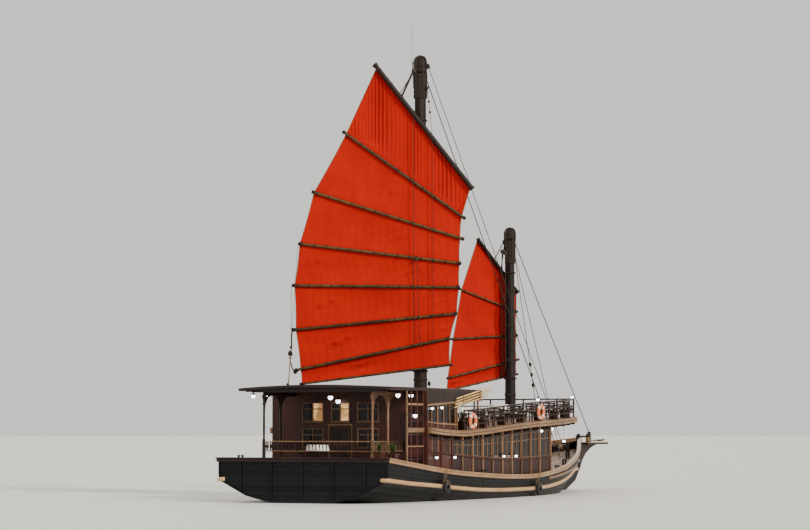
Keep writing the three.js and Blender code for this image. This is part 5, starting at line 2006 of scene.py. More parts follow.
@dataclass
class LugSail:
    """A battened lug sail that turns about its mast, in the sail's own frame.

    u runs aft from the mast's axis, w is square to the cloth, and z is up. A spar is
    (u, z) at its fore end, (u, z) at its after end and its radius.
    """

    name: str
    mast: Mast
    swing: float
    cloth: float
    yard: tuple[float, ...]
    boom: tuple[float, ...]
    battens: tuple[tuple[float, ...], ...]
    edges: tuple[tuple[float, float], ...]
    flat: tuple[float, float]
    area: float
    pleated: float = 1
    belly: float = 0.1
    columns: int = 250
    rows: int = 10
    canvas_thickness: float = 0.006
    lashing_pitch: float = 0.55
    spar_step: float = 0.12

    def matrix(self) -> Matrix:
        """From the sail's frame to the ship's."""
        turn = Matrix.Rotation(math.pi - math.radians(self.swing), 4, "Z")
        return Matrix.Translation(at(self.mast.place, 0, 0)) @ turn

    def standoff(self, spar: Sequence[float]) -> float:
        """How far a spar's middle line lies from the mast's axis, square to the cloth."""
        return self.cloth + SPAR_GAP + SPAR_BEDDED * spar[4]

    def spars(self) -> list[tuple[float, ...]]:
        """The yard, the battens and the boom, from the top down."""
        return [self.yard, *self.battens, self.boom]

    @staticmethod
    def on(spar: Sequence[float], u: float) -> float:
        """The height of a spar's middle line at u."""
        return spar[1] + (spar[3] - spar[1]) * (u - spar[0]) / (spar[2] - spar[0])

    def canvas(self) -> bpy.types.Object:
        """The cloth: one sheet, laced to its spars and bellied between them.

        Returns:
            The cloth's object.
        """
        shape = Shape(self.name + "_canvas", SAILCLOTH)
        lines = self.spars()
        rows, crease_shades = [], []
        for k in range(len(lines) - 1):
            for r in range(self.rows + (k == len(lines) - 2)):
                t = r / self.rows
                row = []
                for c in range(self.columns + 1):
                    point, crease_shade = self.point(k, c / self.columns, t)
                    row.append(point)
                    crease_shades.append(crease_shade)
                rows.append(row)
        shape.skin(rows, closed=False, capped=False,
                   runs=lambda r, i: tuple(rows[min(r, len(rows) - 1)][min(i, self.columns)].xz))
        # The crease depths go into the shade attribute, where the canvas paints them as shade.
        shape.shades = crease_shades
        made = shape.piece(self.name, [self.name + "_cloth"], self.matrix())
        thick = made.modifiers.new("thickness", "SOLIDIFY")
        thick.thickness = self.canvas_thickness
        thick.offset = 0
        return made

    def point(self, panel: int, s: float, t: float) -> tuple[Vector, float]:
        """A point of the cloth and the painted shade of its creases there.

        Args:
            panel: the panel's number from the top.
            s: the share of the way from the fore edge to the after edge.
            t: the share of the way down the panel.

        Returns:
            The point in the sail's frame, and the painted shade of the creases, from 0 for smooth cloth up
            to 1 in a crease.
        """
        upper, lower = self.spars()[panel : panel + 2]
        (u0, u1), (v0, v1) = self.edges[panel], self.edges[panel + 1]
        if panel:
            top_u, low_u = u0 + (u1 - u0) * s, v0 + (v1 - v0) * s
            top, low = self.on(upper, top_u), self.on(lower, low_u)
            u = top_u + (low_u - top_u) * t
        else:
            u = u0 + (v1 - u0) * s
            head, foot = self.on(upper, u0), self.on(lower, v0)
            tack, clew = self.on(upper, u1), self.on(lower, v1)
            top = self.on(upper, u) if u < u1 else tack + (clew - tack) * (u - u1) / (v1 - u1)
            low = self.on(lower, u) if u > v0 or v0 == u0 else head + (foot - head) * (u - u0) / (v0 - u0)
            top = max(top, low + 0.004)
        z = top + (low - top) * t
        dip, edge = math.sin(math.pi * t), min(s, 1 - s, 0.05) / 0.05
        near = min(max((abs(u) - 0.5) / 1.2, 0), 1) if self.cloth > 0 else 1
        belly = self.belly * dip * (0.2 + 0.8 * math.sin(math.pi * s)) * near
        if panel:
            fan = math.sin(
                (z - upper[1]) * 13 + u * 3.1 + 2.4 * math.sin(u * 0.9 + panel * 1.9)
            ) * dip ** 1.5
            fine = math.sin(u * 17 + 5 * t + panel * 2.3 + 1.7 * math.sin(z * 2.1)) * dip
            patch = max(math.sin(u * 1.3 + panel * 2.1 + z * 0.7), 0) ** 2
            relief = (0.02 + 0.004 * panel) * fan * patch + 0.006 * fine
            # The folds' crease depth also darkens the canvas colour as painted shade.
            crease_shade = max(fan, 0) ** 3 * patch * (0.42 + 0.05 * panel) + max(fine, 0) ** 6 * 0.14
        else:
            turn = math.tau * u / 0.175 + 1.9 * math.sin(u * 2.3)
            valley = (0.5 + 0.5 * math.cos(turn)) ** 2.6
            depth = min(t * 9, 1) * min((1 - t) * 5, 1) * min(abs(top - low) / 1.5, 1)
            depth *= (0.65 + 0.35 * math.sin(u * 4.1)) * self.pleated
            # The pleat valleys are darkened as painted shade.
            relief, crease_shade = -0.06 * valley * depth, valley * depth * 0.62
        hollow = 0.025 * dip * (s ** 6 - (1 - s) ** 6) * min(panel, 1)
        fold = -belly - 0.008 * dip + relief * edge * (0.5 + 0.5 * near)
        return Vector((u - hollow, self.cloth + fold, z)), crease_shade * edge

    def poles(self) -> None:
        """The yard, boom and battens with their lashings, and the parrels on the mast."""
        for k, spar in enumerate(self.spars()):
            last = k == len(self.battens) + 1
            label = "yard" if k == 0 else "boom" if last else f"batten_{k}"
            wood = YARD_WOOD if label == "yard" else SPAR
            shape = Shape(f"{self.name}_{label}_pole", wood, TARRED, DARK_WOOD)
            u0, z0, u1, z1, radius = spar
            w = self.standoff(spar)
            start, end = Vector((u0, w, z0)), Vector((u1, w, z1))
            length = (end - start).length
            count = max(round(length / self.spar_step), 6)
            path = [start.lerp(end, i / count) for i in range(count + 1)]
            shape.tube(path, self.thickness(radius, length, shape), 12)
            for tip, way in ((start, -1), (end, 1)):
                along = (end - start).normalized() * way
                cap = [(0.9, -0.15), (1.22, -0.13), (1.22, -0.02), (1.0, 0.0), (0.3, 0.012), (0, 0.013)]
                shape.turned(tip, [(radius * r, h) for r, h in cap], 12, along, 2)
            a, b = self.edges[k]
            axis = end - start
            for place in steps(a + 0.12, b - 0.12, self.lashing_pitch):
                share = (place - u0) / (u1 - u0)
                centre = start.lerp(end, share)
                for slip in (-0.012, 0.012):
                    shape.ring(centre + axis.normalized() * slip, axis, radius + 0.008, 0.009, 6, 14, 1)
            if label in ("yard", "boom"):
                self.parrel(shape, spar, label == "yard")
            shape.piece(self.name, [f"{self.name}_{label}"], self.matrix())

    @staticmethod
    def thickness(radius: float, length: float, shape: Shape) -> Callable[[float], float]:
        """The radius along a spar: a slight taper and rings where the cane's joints are.

        Args:
            radius: the spar's mean radius.
            length: its length.
            shape: the piece, whose dice place the joints.

        Returns:
            The radius at a share of the spar.
        """
        joint = 0.62 + 0.1 * shape.dice.random()

        def at_share(share: float) -> float:
            """The radius at a share of the spar's length.

            Args:
                share: from 0 at the fore end to 1 at the after end.

            Returns:
                The radius.
            """
            place = share * length % joint
            ridge = 0.05 if place < 0.11 else 0
            return radius * (1.02 - 0.06 * abs(share - 0.35)) * (0.95 + ridge)

        return at_share

    def parrel(self, shape: Shape, spar: Sequence[float], high: bool) -> None:
        """A beaded hoop round the mast with lashings to its spar.

        Args:
            shape: the piece that it is part of.
            spar: the spar's numbers.
            high: whether it rides above its spar.
        """
        z = self.on(spar, 0) + (0.19 if high else -0.095)
        reach = self.mast.radius(z) / math.cos(math.pi / 20) + 0.006
        way = 1 if self.cloth > 0 else -1
        centre = UP * z
        shape.ring(centre, UP, reach + 0.03, 0.018, 8, 36, 1)
        for i in range(22):
            bead = centre + heading(math.tau * i / 22) * (reach + 0.027)
            shape.turned(
                bead - UP * 0.04,
                [(0.012, 0), (0.024, 0.012), (0.026, 0.04), (0.024, 0.068), (0.012, 0.08)], 8, coat=2
            )
        spar_w = self.standoff(spar)
        target = self.on(spar, 0)
        for slip in (-0.03, 0, 0.03):
            shape.tube(
                [
                    Vector((slip, way * (reach + 0.02), z)),
                    Vector((slip, spar_w * 0.9 + way * reach * 0.1, z)), Vector((slip, spar_w, target))
                ], 0.014, 7, 1
            )

    def bolt_rope(self) -> None:
        """The rope sewn round the sail's edge."""
        shape = Shape(self.name + "_bolt_rope", MANILA)
        lines = self.spars()
        for end in (0, 1):
            corners = [
                Vector((e[end], self.cloth, self.on(spar, e[end]))) for e, spar in zip(self.edges, lines)
            ]
            path = [corners[0].lerp(corners[1], i / 8) for i in range(8)]
            path += [self.point(k, float(end), i / 8)[0] for k in range(1, len(lines) - 1)
                     for i in range(8 + (k == len(lines) - 2))]
            shape.tube(path, 0.017, 6)
        shape.piece(self.name, (), self.matrix())

    def build(self) -> None:
        """Makes the sail."""
        cloth = self.canvas()
        self.poles()
        self.bolt_rope()


MAIN_MAST = Mast("main_mast", 11.7, 0.33, 0.265, 19.9, 0.3, 20.8)
FORE_MAST = Mast("fore_mast", 22.2, 0.3, 0.21, 12.7, 0.285, 13.4)

MAIN_SAIL = LugSail(
    "main_sail", MAIN_MAST, 62, 0.45,
    yard=(-2.43, 14.39, 2.19, 20.28, 0.115),
    boom=(-1.48, 6.17, 5.65, 5.26, 0.055),
    battens=(
        (-2.09, 13.0, 3.67, 17.1, 0.072),
        (-2.03, 12.04, 5.11, 14.26, 0.072),
        (-1.89, 10.91, 5.73, 11.82, 0.072),
        (-1.83, 9.79, 6.02, 9.86, 0.072),
        (-1.7, 8.57, 5.99, 7.78, 0.072),
        (-1.34, 7.41, 5.89, 5.9, 0.072),
    ),
    edges=((-2.33, 2.07), (-1.92, 3.5), (-1.84, 5.0), (-1.81, 5.66), (-1.79, 5.89), (-1.68, 5.83),
           (-1.36, 5.6), (-1.34, 5.56)),
    flat=(8.4, 14.8),
    area=86,
)
FORE_SAIL = LugSail(
    "fore_sail", FORE_MAST, 35, -0.46,
    yard=(-0.7, 10.09, 1.69, 12.77, 0.088),
    boom=(-0.72, 5.975, 3.52, 5.08, 0.048),
    battens=(
        (-0.69, 9.12, 2.8, 10.23, 0.055),
        (-0.69, 7.93, 3.25, 7.67, 0.055),
        (-0.77, 6.72, 3.48, 5.71, 0.055),
    ),
    edges=((-0.64, 1.64), (-0.64, 2.58), (-0.64, 3.07), (-0.64, 3.38), (-0.64, 3.44)),
    flat=(4.1, 7.6),
    area=21.8,
    pleated=0.35,
)


def sag(start: Vector, end: Vector, dip: float, count: int = 12) -> list[Vector]:
    """A line between two points that hangs by dip in its middle.

    Args:
        start: where it starts.
        end: where it ends.
        dip: how far it hangs.
        count: how many parts it has.

    Returns:
        The line's points.
    """
    return [
        start.lerp(end, i / count) - UP * dip * 4 * (i / count) * (1 - i / count) for i in range(count + 1)
    ]


@dataclass
class Rigging:
    """Stays, halyards, sheets and blocks."""

    stay: float = 0.022
    line: float = 0.017

    def block(self, shape: Shape, centre: Vector, along: Vector, size: float) -> None:
        """A wooden block with its cheeks, sheave and strop, lying along a line.

        Args:
            shape: the piece that it is part of.
            centre: its middle.
            along: the line that it lies on.
            size: its length.
        """
        along = along.normalized()
        side = along.cross(UP if abs(along.z) < 0.9 else AHEAD).normalized()
        profile = [(0.08, -0.5), (0.3, -0.42), (0.42, -0.15), (0.42, 0.15), (0.3, 0.42), (0.08, 0.5)]
        flat = [(-1, -0.05), (1, -0.05), (1, 0.05), (-1, 0.05)]
        for offset in (-0.16, 0.16):
            shape.skin([[
                centre + side * (offset + s) * size + along * h * size + along.cross(side) * r * size * w
                for w, s in flat
            ] for r, h in profile], 2)
        shape.turned(centre - side * 0.1 * size, [(0.3 * size, 0), (0.3 * size, 0.2 * size)], 12, side, 2)
        shape.ring(centre, side.cross(along), 0.36 * size, 0.05 * size, 6, 12, 0)

    def stays(self) -> None:
        """Standing rigging from the mastheads forward, with turnbuckles at the deck."""
        main = [at(11.85, 0, 20.3), at(26.3, -1.0, LINES.deck_z(26.3, 1.0) + 0.05)]
        fore = [at(22.4, 0, 13.05), at(32.8, 0, 3.0)]
        for name, ends, node in (("main", main, "main_stay"), ("fore", fore, "fore_stay")):
            shape = Shape(name + "_stay_wire", TARRED, STEEL)
            shape.tube(sag(*ends, 0.02, 30), self.stay, 8)
            self.turnbuckle(shape, *ends)
            shape.piece("ship", [node])
        second = Shape("inner_stays", TARRED, STEEL, DARK_WOOD)
        lowest = (at(22.45, -0.1, 12.3), at(26.2, -0.1, LINES.deck_z(26.2) + 0.05))
        for ends in (
            (at(12.15, -0.18, 20.35), at(26.6, -1.25, LINES.deck_z(26.6, 1.25) + 0.05)),
            (at(22.42, 0.0, 12.7), at(27.9, -0.35, LINES.deck_z(27.9, 0.35) + 0.05)), lowest
        ):
            second.tube(sag(*ends, 0.02, 24), self.line, 7)
            self.turnbuckle(second, *ends)
        second.tube([at(11.85, -0.1, 20.5), at(12.0, -0.14, 20.46), at(12.15, -0.18, 20.33)], 0.045, 8)
        self.block(second, at(12.16, -0.18, 20.3), at(12.15, -0.18, 20.35) - at(26.6, -1.25, 1.7), 0.24)
        top, foot = lowest
        for share in (0.55, 0.6, 0.65):
            self.block(second, top.lerp(foot, share), foot - top, 0.2)
        second.piece("ship")

    def turnbuckle(self, shape: Shape, top: Vector, foot: Vector) -> None:
        """The screw and eye at a stay's lower end.

        Args:
            shape: the piece that it is part of.
            top: the stay's upper end.
            foot: the stay's lower end.
        """
        way = (top - foot).normalized()
        shape.turned(
            foot,
            [
                (0.03, 0), (0.035, 0.02), (0.02, 0.04), (0.014, 0.1), (0.028, 0.12), (0.028, 0.4),
                (0.014, 0.42), (0.014, 0.5), (0.024, 0.52), (0.018, 0.56)
            ], 8, way, 1
        )
        shape.turned(foot - UP * 0.05, [(0.07, 0), (0.07, 0.02), (0.03, 0.03)], 12, coat=1)

    def halyards(self) -> None:
        """Lines from the mastheads to the yards, which turn with the sails."""
        for sail, drops, falls in (
            (
                MAIN_SAIL,
                (((0.3, 0.28, 20.1), 0.9, 0, 0.052), ((0.24, 0.31, 20.1), 1.0, 0, 0.02),
                 ((-0.3, 0.26, 19.4), -0.54, 2, 0.014)),
                (((-0.52, 0.69, 16.8), (-0.52, 0.63, 7.1)), ((0.35, 0.69, 17.95), (0.35, 0.63, 6.95)),
                 ((0.19, 0.66, 11.35), (0.19, 0.66, 11.1), (0.06, 0.63, 7.0))),
            ),
            (
                FORE_SAIL,
                (((0.16, -0.26, 12.75), 0.7, 0, 0.026), ((0.14, -0.27, 12.7), 0.3, 0, 0.026)),
                (((0.1, -0.1, 12.5), (0.39, -0.13, 12.15), (0.39, -0.13, 6.2), (0.42, -0.36, 5.75)),
                 ((0.1, 0.1, 12.4), (0.35, 0.13, 12.05), (0.35, 0.13, 6.2), (0.38, -0.34, 5.77))),
            ),
        ):
            shape = Shape(sail.name + "_halyards", MANILA, STEEL, DARK_WOOD, TARRED)
            w = sail.standoff(sail.yard)
            for top, u, beads, thick in drops:
                head, foot = Vector(top), Vector((u, w, sail.on(sail.yard, u) + sail.yard[4]))
                shape.tube(sag(head, foot, 0.01, 8), thick, 7, 3 if thick > 0.015 else 0)
                self.block(shape, head.lerp(foot, 0.08), foot - head, 0.16)
                shape.ring(
                    foot - UP * sail.yard[4],
                    Vector((sail.yard[2] - sail.yard[0], 0, sail.yard[3] - sail.yard[1])),
                    sail.yard[4] + 0.012, 0.016, 6, 14, 3
                )
                for k in range(beads):
                    shape.ball(head.lerp(foot, 0.35 + 0.2 * k), 0.06, 8, 2)
            for k in range(3):
                z = drops[0][0][2] + 0.03 * k - 0.03
                shape.ring(UP * z, UP, sail.mast.radius(z) + 0.03, 0.016, 6, 24, 3)
            for fall in falls:
                route = [Vector(point) for point in fall]
                shape.tube(route, 0.015 if sail is MAIN_SAIL else 0.027, 7, 3)
                if len(route) > 2:
                    self.block(shape, route[1], UP, 0.2)
            shape.piece(sail.name, (), sail.matrix())

    def falls(self) -> None:
        """Ropes that come down beside the masts to their cleats."""
        shape = Shape("halyard_falls", MANILA, IRON, DARK_WOOD, TARRED)
        main = at(MAIN_MAST.place, 0, 0)
        out = heading(math.radians(-53))
        high, low = main + out * 0.42 + UP * 5.3, main + out * 0.42 + UP * (
            LINES.upper_top(MAIN_MAST.place) + 0.75
        )
        shape.tube(sag(high, low, 0, 4), 0.016, 8)
        self.block(shape, high, UP, 0.2)
        for k in range(3):
            shape.ring(main + UP * (5.46 + 0.03 * k), UP, MAIN_MAST.radius(5.5) + 0.016, 0.016, 6, 30, 3)
        shape.tube([main + out * 0.33 + UP * 5.49, high + UP * 0.1], 0.016, 6)
        self.cleat(shape, low, out)
        shape.piece("ship")

    def cleat(self, shape: Shape, place: Vector, out: Vector) -> None:
        """A cleat on a post beside the mast with the rope's turns on it.

        Args:
            shape: the piece that it is part of.
            place: where it is.
            out: the way that it faces, level.
        """
        side = out.cross(UP)
        shape.timber(place - UP * 0.82 + out * 0.03, place + UP * 0.06 + out * 0.03, 0.09, 0.09, 0.012, 2,
                     AHEAD)
        shape.timber(
            place + side * 0.14 + out * 0.09, place - side * 0.14 + out * 0.09, 0.035, 0.04, 0.01, 1
        )
        for k in range(4):
            shape.ring(
                place + out * (0.06 + 0.012 * k) - UP * 0.01, out + side * 0.3, 0.06 + 0.01 * k, 0.013, 6,
                14
            )

    def leech_gear(self) -> None:
        """Sheetlets, their knots and block along the main sail's after edge."""
        sail = MAIN_SAIL
        shape = Shape("leech_gear", TARRED, STEEL, DARK_WOOD)
        w = sail.cloth + 0.06
        route = [
            Vector((u, w, z))
            for u, z in (
                (6.0, 7.78), (6.03, 7.4), (6.02, 6.98), (6.1, 6.7), (6.08, 6.3), (5.98, 5.95), (5.86, 5.82),
                (5.72, 5.86)
            )
        ]
        shape.tube(route, 0.03, 8)
        for u, z, size in ((6.09, 6.68, 0.26), (5.86, 5.84, 0.22)):
            self.block(shape, Vector((u, w, z)), Vector((0.1, 0, 1)), size)
        for u, z in ((6.0, 7.8), (6.06, 6.95), (6.09, 6.45), (5.75, 5.87)):
            for k in range(3):
                shape.ring(Vector((u, w, z + 0.03 * k)), Vector((0.2, 0, 1)), 0.045, 0.02, 6, 12)
        for batten in sail.battens[2:5]:
            tip = Vector((batten[2] + 0.02, w, batten[3]))
            shape.tube(sag(tip, Vector((6.06, w, 6.95)), 0.02, 8), 0.01, 6)
        shape.piece(sail.name, (), sail.matrix())
        sheet = Shape("main_sheet", MANILA, STEEL, DARK_WOOD)
        clew = sail.matrix() @ Vector((6.09, w, 6.62))
        roof = at(3.3, 2.5, 5.02)
        for slip in (0, 0.05):
            sheet.tube(sag(clew + AHEAD * slip, roof + Vector((slip, 0, 0.03)), 0.04, 24), self.line, 7)
        self.block(sheet, roof + UP * 0.12, clew - roof, 0.2)
        sheet.turned(roof - UP * 0.04, [(0.08, 0), (0.08, 0.02), (0.03, 0.04), (0.03, 0.08)], 12, coat=1)
        made = sheet.piece(None)
        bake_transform(made)

    def build(self) -> None:
        """Makes the rigging."""
        self.stays()
        self.halyards()
        self.falls()
        self.leech_gear()


@dataclass
class Fittings:
    """Life rings, bamboo poles, lamps, the antenna and the gear at the bow."""

    ring_radius: float = 0.295
    ring_tube: float = 0.085

    def life_rings(self) -> None:
        """Two ring buoys on the starboard railing, banded and roped."""
        for number in (1, 2):
            low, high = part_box(f"life_ring_{number}")
            centre = (low + high) / 2
            shape = Shape(f"ring_buoy_{number}", RING_PAINT, RING_BAND, WHITE_ROPE)
            turn = -math.atan2(high.y - low.y - 2 * self.ring_tube, high.x - low.x) * 0.5
            side = heading(turn)
            axis = UP.cross(side)
            rings, coats = [], []
            for i in range(48):
                a = math.tau * i / 48
                out = side * math.cos(a) + UP * math.sin(a)
                banded = i % 12 in (5, 6, 7)
                tube = self.ring_tube * (0.985 if banded else 0.965)
                rings.append(
                    [centre + out * (self.ring_radius + x) + axis * y for x, y in circle(tube, 14)]
                )
                coats.append(banded)
            for i in range(48):
                pair = [rings[i], rings[(i + 1) % 48]]
                shape.skin(pair, int(coats[i]), capped=False, shades=[0.0] * 14)
            rope = []
            for i in range(97):
                a = math.tau * i / 96
                slack = 0.012 + 0.05 * abs(math.sin(2 * a + math.pi / 4)) ** 2
                reach = self.ring_radius + self.ring_tube - 0.02 + slack * 0.3
                rope.append(centre + (side * math.cos(a) + UP * math.sin(a)) * reach)
            shape.tube(rope[:-1], 0.009, 6, 2, looped=True)
            shape.piece("ship", [f"life_ring_{number}"])

    def poles(self) -> None:
        """A bundle of bamboo poles lashed along the starboard eave."""
        shape = Shape("bamboo_bundle", BAMBOO, MANILA)
        y = -(Roof().half + 0.0419)
        for i in range(4):
            start, end = at(7.4 + 0.09 * i, y, 4.13 + 0.135 * i), at(11.0 + 0.13 * i, y, 4.7 + 0.135 * i)
            length = (end - start).length
            path = [start.lerp(end, k / 60) for k in range(61)]
            shift = shape.dice.random() * 0.3

            def size(share: float) -> float:
                """The cane's radius, with a ridge at each joint."""
                place = (share * length + shift) % 0.32
                return 0.041 * (0.9 - 0.12 * share) + (0.004 if place < 0.045 else 0)

            shape.tube(path, size, 10)
        for d, z in ((8.3, 4.23), (10.1, 4.51)):
            for k in range(4):
                loop = [at(d - 0.03 + 0.02 * k, y + side * 0.045, z + h) for side, h in (
                    (1, 0.02), (1, 0.24), (1, 0.47), (-1, 0.47), (-1, 0.24), (-1, 0.02))]
                shape.tube(loop, 0.009, 6, 1, looped=True)
        shape.piece("ship", ["bamboo_poles"])

    def lamp(self, shape: Shape, centre: Vector, size: float) -> None:
        """A caged lamp: a glass bowl under a cap.

        Args:
            shape: the piece that it is part of.
            centre: its middle.
            size: the bowl's radius.
        """
        profile = [(0, -1), (0.6, -0.86), (0.95, -0.35), (1, 0.1), (0.8, 0.5)]
        shape.turned(centre, [(r * size, h * size) for r, h in profile], 14, coat=1)
        cap = [(1.15, 0.45), (1.2, 0.6), (0.7, 1.0), (0.3, 1.25), (0.12, 1.6)]
        shape.turned(centre, [(r * size, h * size) for r, h in cap], 14, coat=0)
        for turn in (0, math.pi / 2):
            arc = [math.pi * (k / 12 - 0.5) * 1.2 for k in range(13)]
            path = [centre + (heading(turn) * math.sin(a) - UP * math.cos(a)) * size * 1.1 for a in arc]
            shape.tube(path, 0.006, 5)

    def lamps(self) -> None:
        """The lamps along the eaves, house and railing, each on a stem from what carries it."""
        roof, deck = Roof(), UpperDeck()
        hung = [
            (2.05, 3.55, 4.62, 0.1), (3.34, 3.55, 4.62, 0.1), (5.2, 3.69, 4.08, 0.07),
            (6.2, 3.69, 4.12, 0.07), (16.97, 3.9, 3.1, 0.08), (18.4, 3.85, 3.2, 0.08),
            (21.5, 3.2, 2.6, 0.08)
        ]
        spots = [(d, side * y, z, size) for d, y, z, size in hung for side in (1, -1)]
        shape = Shape("lamps", IRON, LAMP)
        for d, y, z, size in [*spots, (2.6, 0.0, 4.55, 0.11), (4.1, 0.4, 4.4, 0.11)]:
            self.lamp(shape, at(d, y, z), size)
            support = LINES.upper_under(d) if d > 10 else 4.27 if d > 5 else roof.height(y)
            shape.tube([at(d, y, z + size), at(d, y, support + 0.01)], 0.008, 6)
            shape.turned(at(d, y, support - 0.02), [(0.03, 0), (0.045, 0.022)], 10)
        for d in (5.0, 6.9, 12.3, 13.7):
            for side in (1, -1):
                self.lamp(shape, at(d, side * 4.0, 1.93), 0.07)
                arm = [at(d, side * y, z) for y, z in ((3.83, 1.98), (3.9, 2.09), (3.97, 2.1), (4.0, 2.03))]
                shape.tube(arm, 0.012, 6)
                shape.post(d, side * 3.885, 1.9, 2.06, 0.06, 0.02, 0.005, up=PORT)
        self.lamp(shape, at(3.4, -3.72, 3.75), 0.1)
        shape.tube([at(3.4, -3.72, 3.85), at(3.4, -3.72, 4.2), at(3.4, -3.66, 4.24)], 0.01, 6)
        for d, side in ((16.6, 1), (16.6, -1), (22.1, 1), (22.1, -1)):
            top = at(d, side * deck.edge(d), LINES.upper_top(d) + deck.height)
            self.lamp(shape, top + UP * 0.14, 0.08)
            shape.tube([top + UP * 0.03, top + UP * 0.07], 0.03, 8)
        shape.piece("ship")

    def antenna(self) -> None:
        """The whip beside the main masthead."""
        shape = Shape("antenna_whip", STEEL, IRON)
        foot = at(MAIN_MAST.place, 0.42, 19.95)
        shape.turned(
            foot,
            [
                (0.028, 0), (0.028, 0.5), (0.02, 0.52), (0.02, 1.3), (0.014, 1.32), (0.01, 2.22),
                (0.014, 2.23), (0.0, 2.25)
            ], 10
        )
        for z in (20.1, 20.44):
            shape.beam(MAIN_MAST.place, 0.26, 0.45, z, 0.05, 0.04, 0.008, 1)
        shape.plank(11.58, 11.82, 0.42, 21.75, 0.012, 0.012, 0.003)
        shape.piece("ship", ["antenna"])

    def platform(self) -> None:
        """The bow platform's planks, beams, bracket and bitts."""
        shape = Shape("bow_platform_joinery", DARK_WOOD, RAIL, IRON, MANILA)
        start, end, half, top = 31.46, 34.4, 0.48, 2.5
        bitts, bollard = 31.92, 32.8
        for y in steps(-half + 0.06, half - 0.06, 0.12):
            shape.plank(start, end - 0.098, y, top - 0.02, 0.112, 0.04, 0.008, 1)
        for y in (-half + 0.04, half - 0.04):
            shape.plank(start, end - 0.1, y, top - 0.08, 0.08, 0.08, 0.014)
        for d in steps(start + 0.2, end - 0.1, 0.5):
            shape.beam(d, -half + 0.05, half - 0.05, top - 0.08, 0.07, 0.07)
        shape.beam(end - 0.05, -half, half, top - 0.06, 0.1, 0.12, 0.02)
        bracket = [(31.46, 1.35), (31.65, 1.55), (32.1, 1.9), (32.9, 2.22), (33.7, 2.38), (31.46, 2.38)]
        shape.slab([at(d, -0.08, z) for d, z in bracket], PORT * 0.16)
        shape.post(bollard, 0, 2.45, 3.05, 0.16, 0.16, 0.02)
        for side in (-1, 1):
            y = side * 0.26
            shape.post(bitts, y, 2.45, 2.95, 0.14, 0.14, 0.015)
            shape.turned(
                at(bitts, y, 2.85), [(0.075, 0), (0.085, 0.02), (0.085, 0.04), (0.07, 0.06)], 12, coat=2
            )
        shape.beam(bitts, -0.42, 0.42, 2.805, 0.1, 0.09, 0.015)
        for k in range(5):
            shape.ring(at(bitts, -0.26, 2.56 + 0.045 * k), UP, 0.098, 0.02, 7, 16, 3)
            shape.ring(at(bollard, 0, 2.6 + 0.045 * k), UP, 0.11, 0.02, 7, 16, 3)
        shape.piece("ship", ["bow_platform"])

    def windlass(self) -> None:
        """A grooved drum between two cheeks, with the cable's turns on it."""
        gear = Shape("windlass_joinery", DARK_WOOD, IRON, MANILA)
        d, z = 28.4, 2.25
        deck = LINES.deck_z(d)
        gear.turned(
            at(d, -0.5, z),
            [
                (0.15, 0), (0.15, 0.1), (0.12, 0.14), (0.12, 0.42), (0.15, 0.46), (0.15, 0.54),
                (0.12, 0.58), (0.12, 0.86), (0.15, 0.9), (0.15, 1.0)
            ], 12, PORT
        )
        for y in (-0.56, 0.56):
            gear.post(d, y, deck - 0.03, 2.48, 0.24, 0.12, 0.02, up=PORT)
            gear.turned(
                at(d, y, z), [(0.06, 0), (0.06, 0.03), (0.03, 0.05)], 12,
                Vector((0, math.copysign(1, y), 0)), 1
            )
        for k in range(5):
            gear.ring(at(d, -0.3 + 0.045 * k, z), PORT, 0.142, 0.021, 7, 20, 2)
        gear.piece("ship", ["windlass"])

    def anchor(self) -> None:
        """The anchor that lies on the platform, and its chain."""
        anchor = Shape("anchor", IRON, STEEL)
        shank, crown = at(34.25, -0.3, 2.62), at(33.1, -0.3, 2.6)
        anchor.timber(shank, crown, 0.05, 0.07, 0.012)
        anchor.timber(
            crown + Vector((0, -0.32, -0.02)), crown + Vector((0, 0.32, -0.02)), 0.06, 0.06, 0.012
        )
        for side in (-1, 1):
            fluke = crown + Vector((0.0, side * 0.22, -0.02))
            anchor.timber(fluke, fluke + Vector((0.42, side * 0.04, 0.02)), 0.05, 0.04, 0.01)
            anchor.timber(
                fluke + Vector((0.3, side * 0.03, 0.02)), fluke + Vector((0.52, side * 0.05, 0.03)), 0.16,
                0.02, 0.008
            )
        for k in range(16):
            link = crown + Vector((-0.06 - 0.062 * k, 0.002 * k, -0.03))
            anchor.ring(link, Vector((0, 1, 0.3)) if k % 2 else Vector((0, 0.3, 1)), 0.034, 0.01, 6, 10, 1)
        anchor.piece("ship")

    def hatch(self) -> None:
        """A slatted hatch on the fore deck, and pairs of bollards along both sides."""
        shape = Shape("fore_hatch", DARK_WOOD, RAIL, IRON)
        d0, d1, half, top = 24.4, 25.6, 0.55, LINES.deck_z(25) + 0.3
        for y in (-half, half):
            shape.plank(d0, d1, y, top - 0.16, 0.06, 0.34, 0.012)
        for d in (d0, d1):
            shape.beam(d, -half, half, top - 0.16, 0.06, 0.34, 0.012)
        for d in steps(d0 + 0.06, d1 - 0.06, 0.1):
            shape.beam(d, -half - 0.04, half + 0.04, top + 0.02, 0.085, 0.03, 0.006, 1)
        for y in (-0.35, 0.35):
            shape.plank(d0 - 0.02, d1 + 0.02, y, top + 0.045, 0.05, 0.02, 0.005, 2)
        for d, y in ((23.6, 2.35), (26.6, 1.3), (20.0, 3.45), (10.0, 4.0), (1.2, 3.7)):
            for side in (1, -1):
                foot = at(d, side * y, LINES.deck_z(d, y))
                for slip in (-0.16, 0.16):
                    shape.turned(
                        foot + AHEAD * slip,
                        [(0.07, 0), (0.05, 0.03), (0.045, 0.2), (0.07, 0.23), (0.06, 0.26), (0.0, 0.27)],
                        12, coat=2
                    )
                shape.timber(
                    foot + Vector((-0.24, 0, 0.01)), foot + Vector((0.24, 0, 0.01)), 0.16, 0.03, 0.008, 2
                )
        shape.piece("ship")

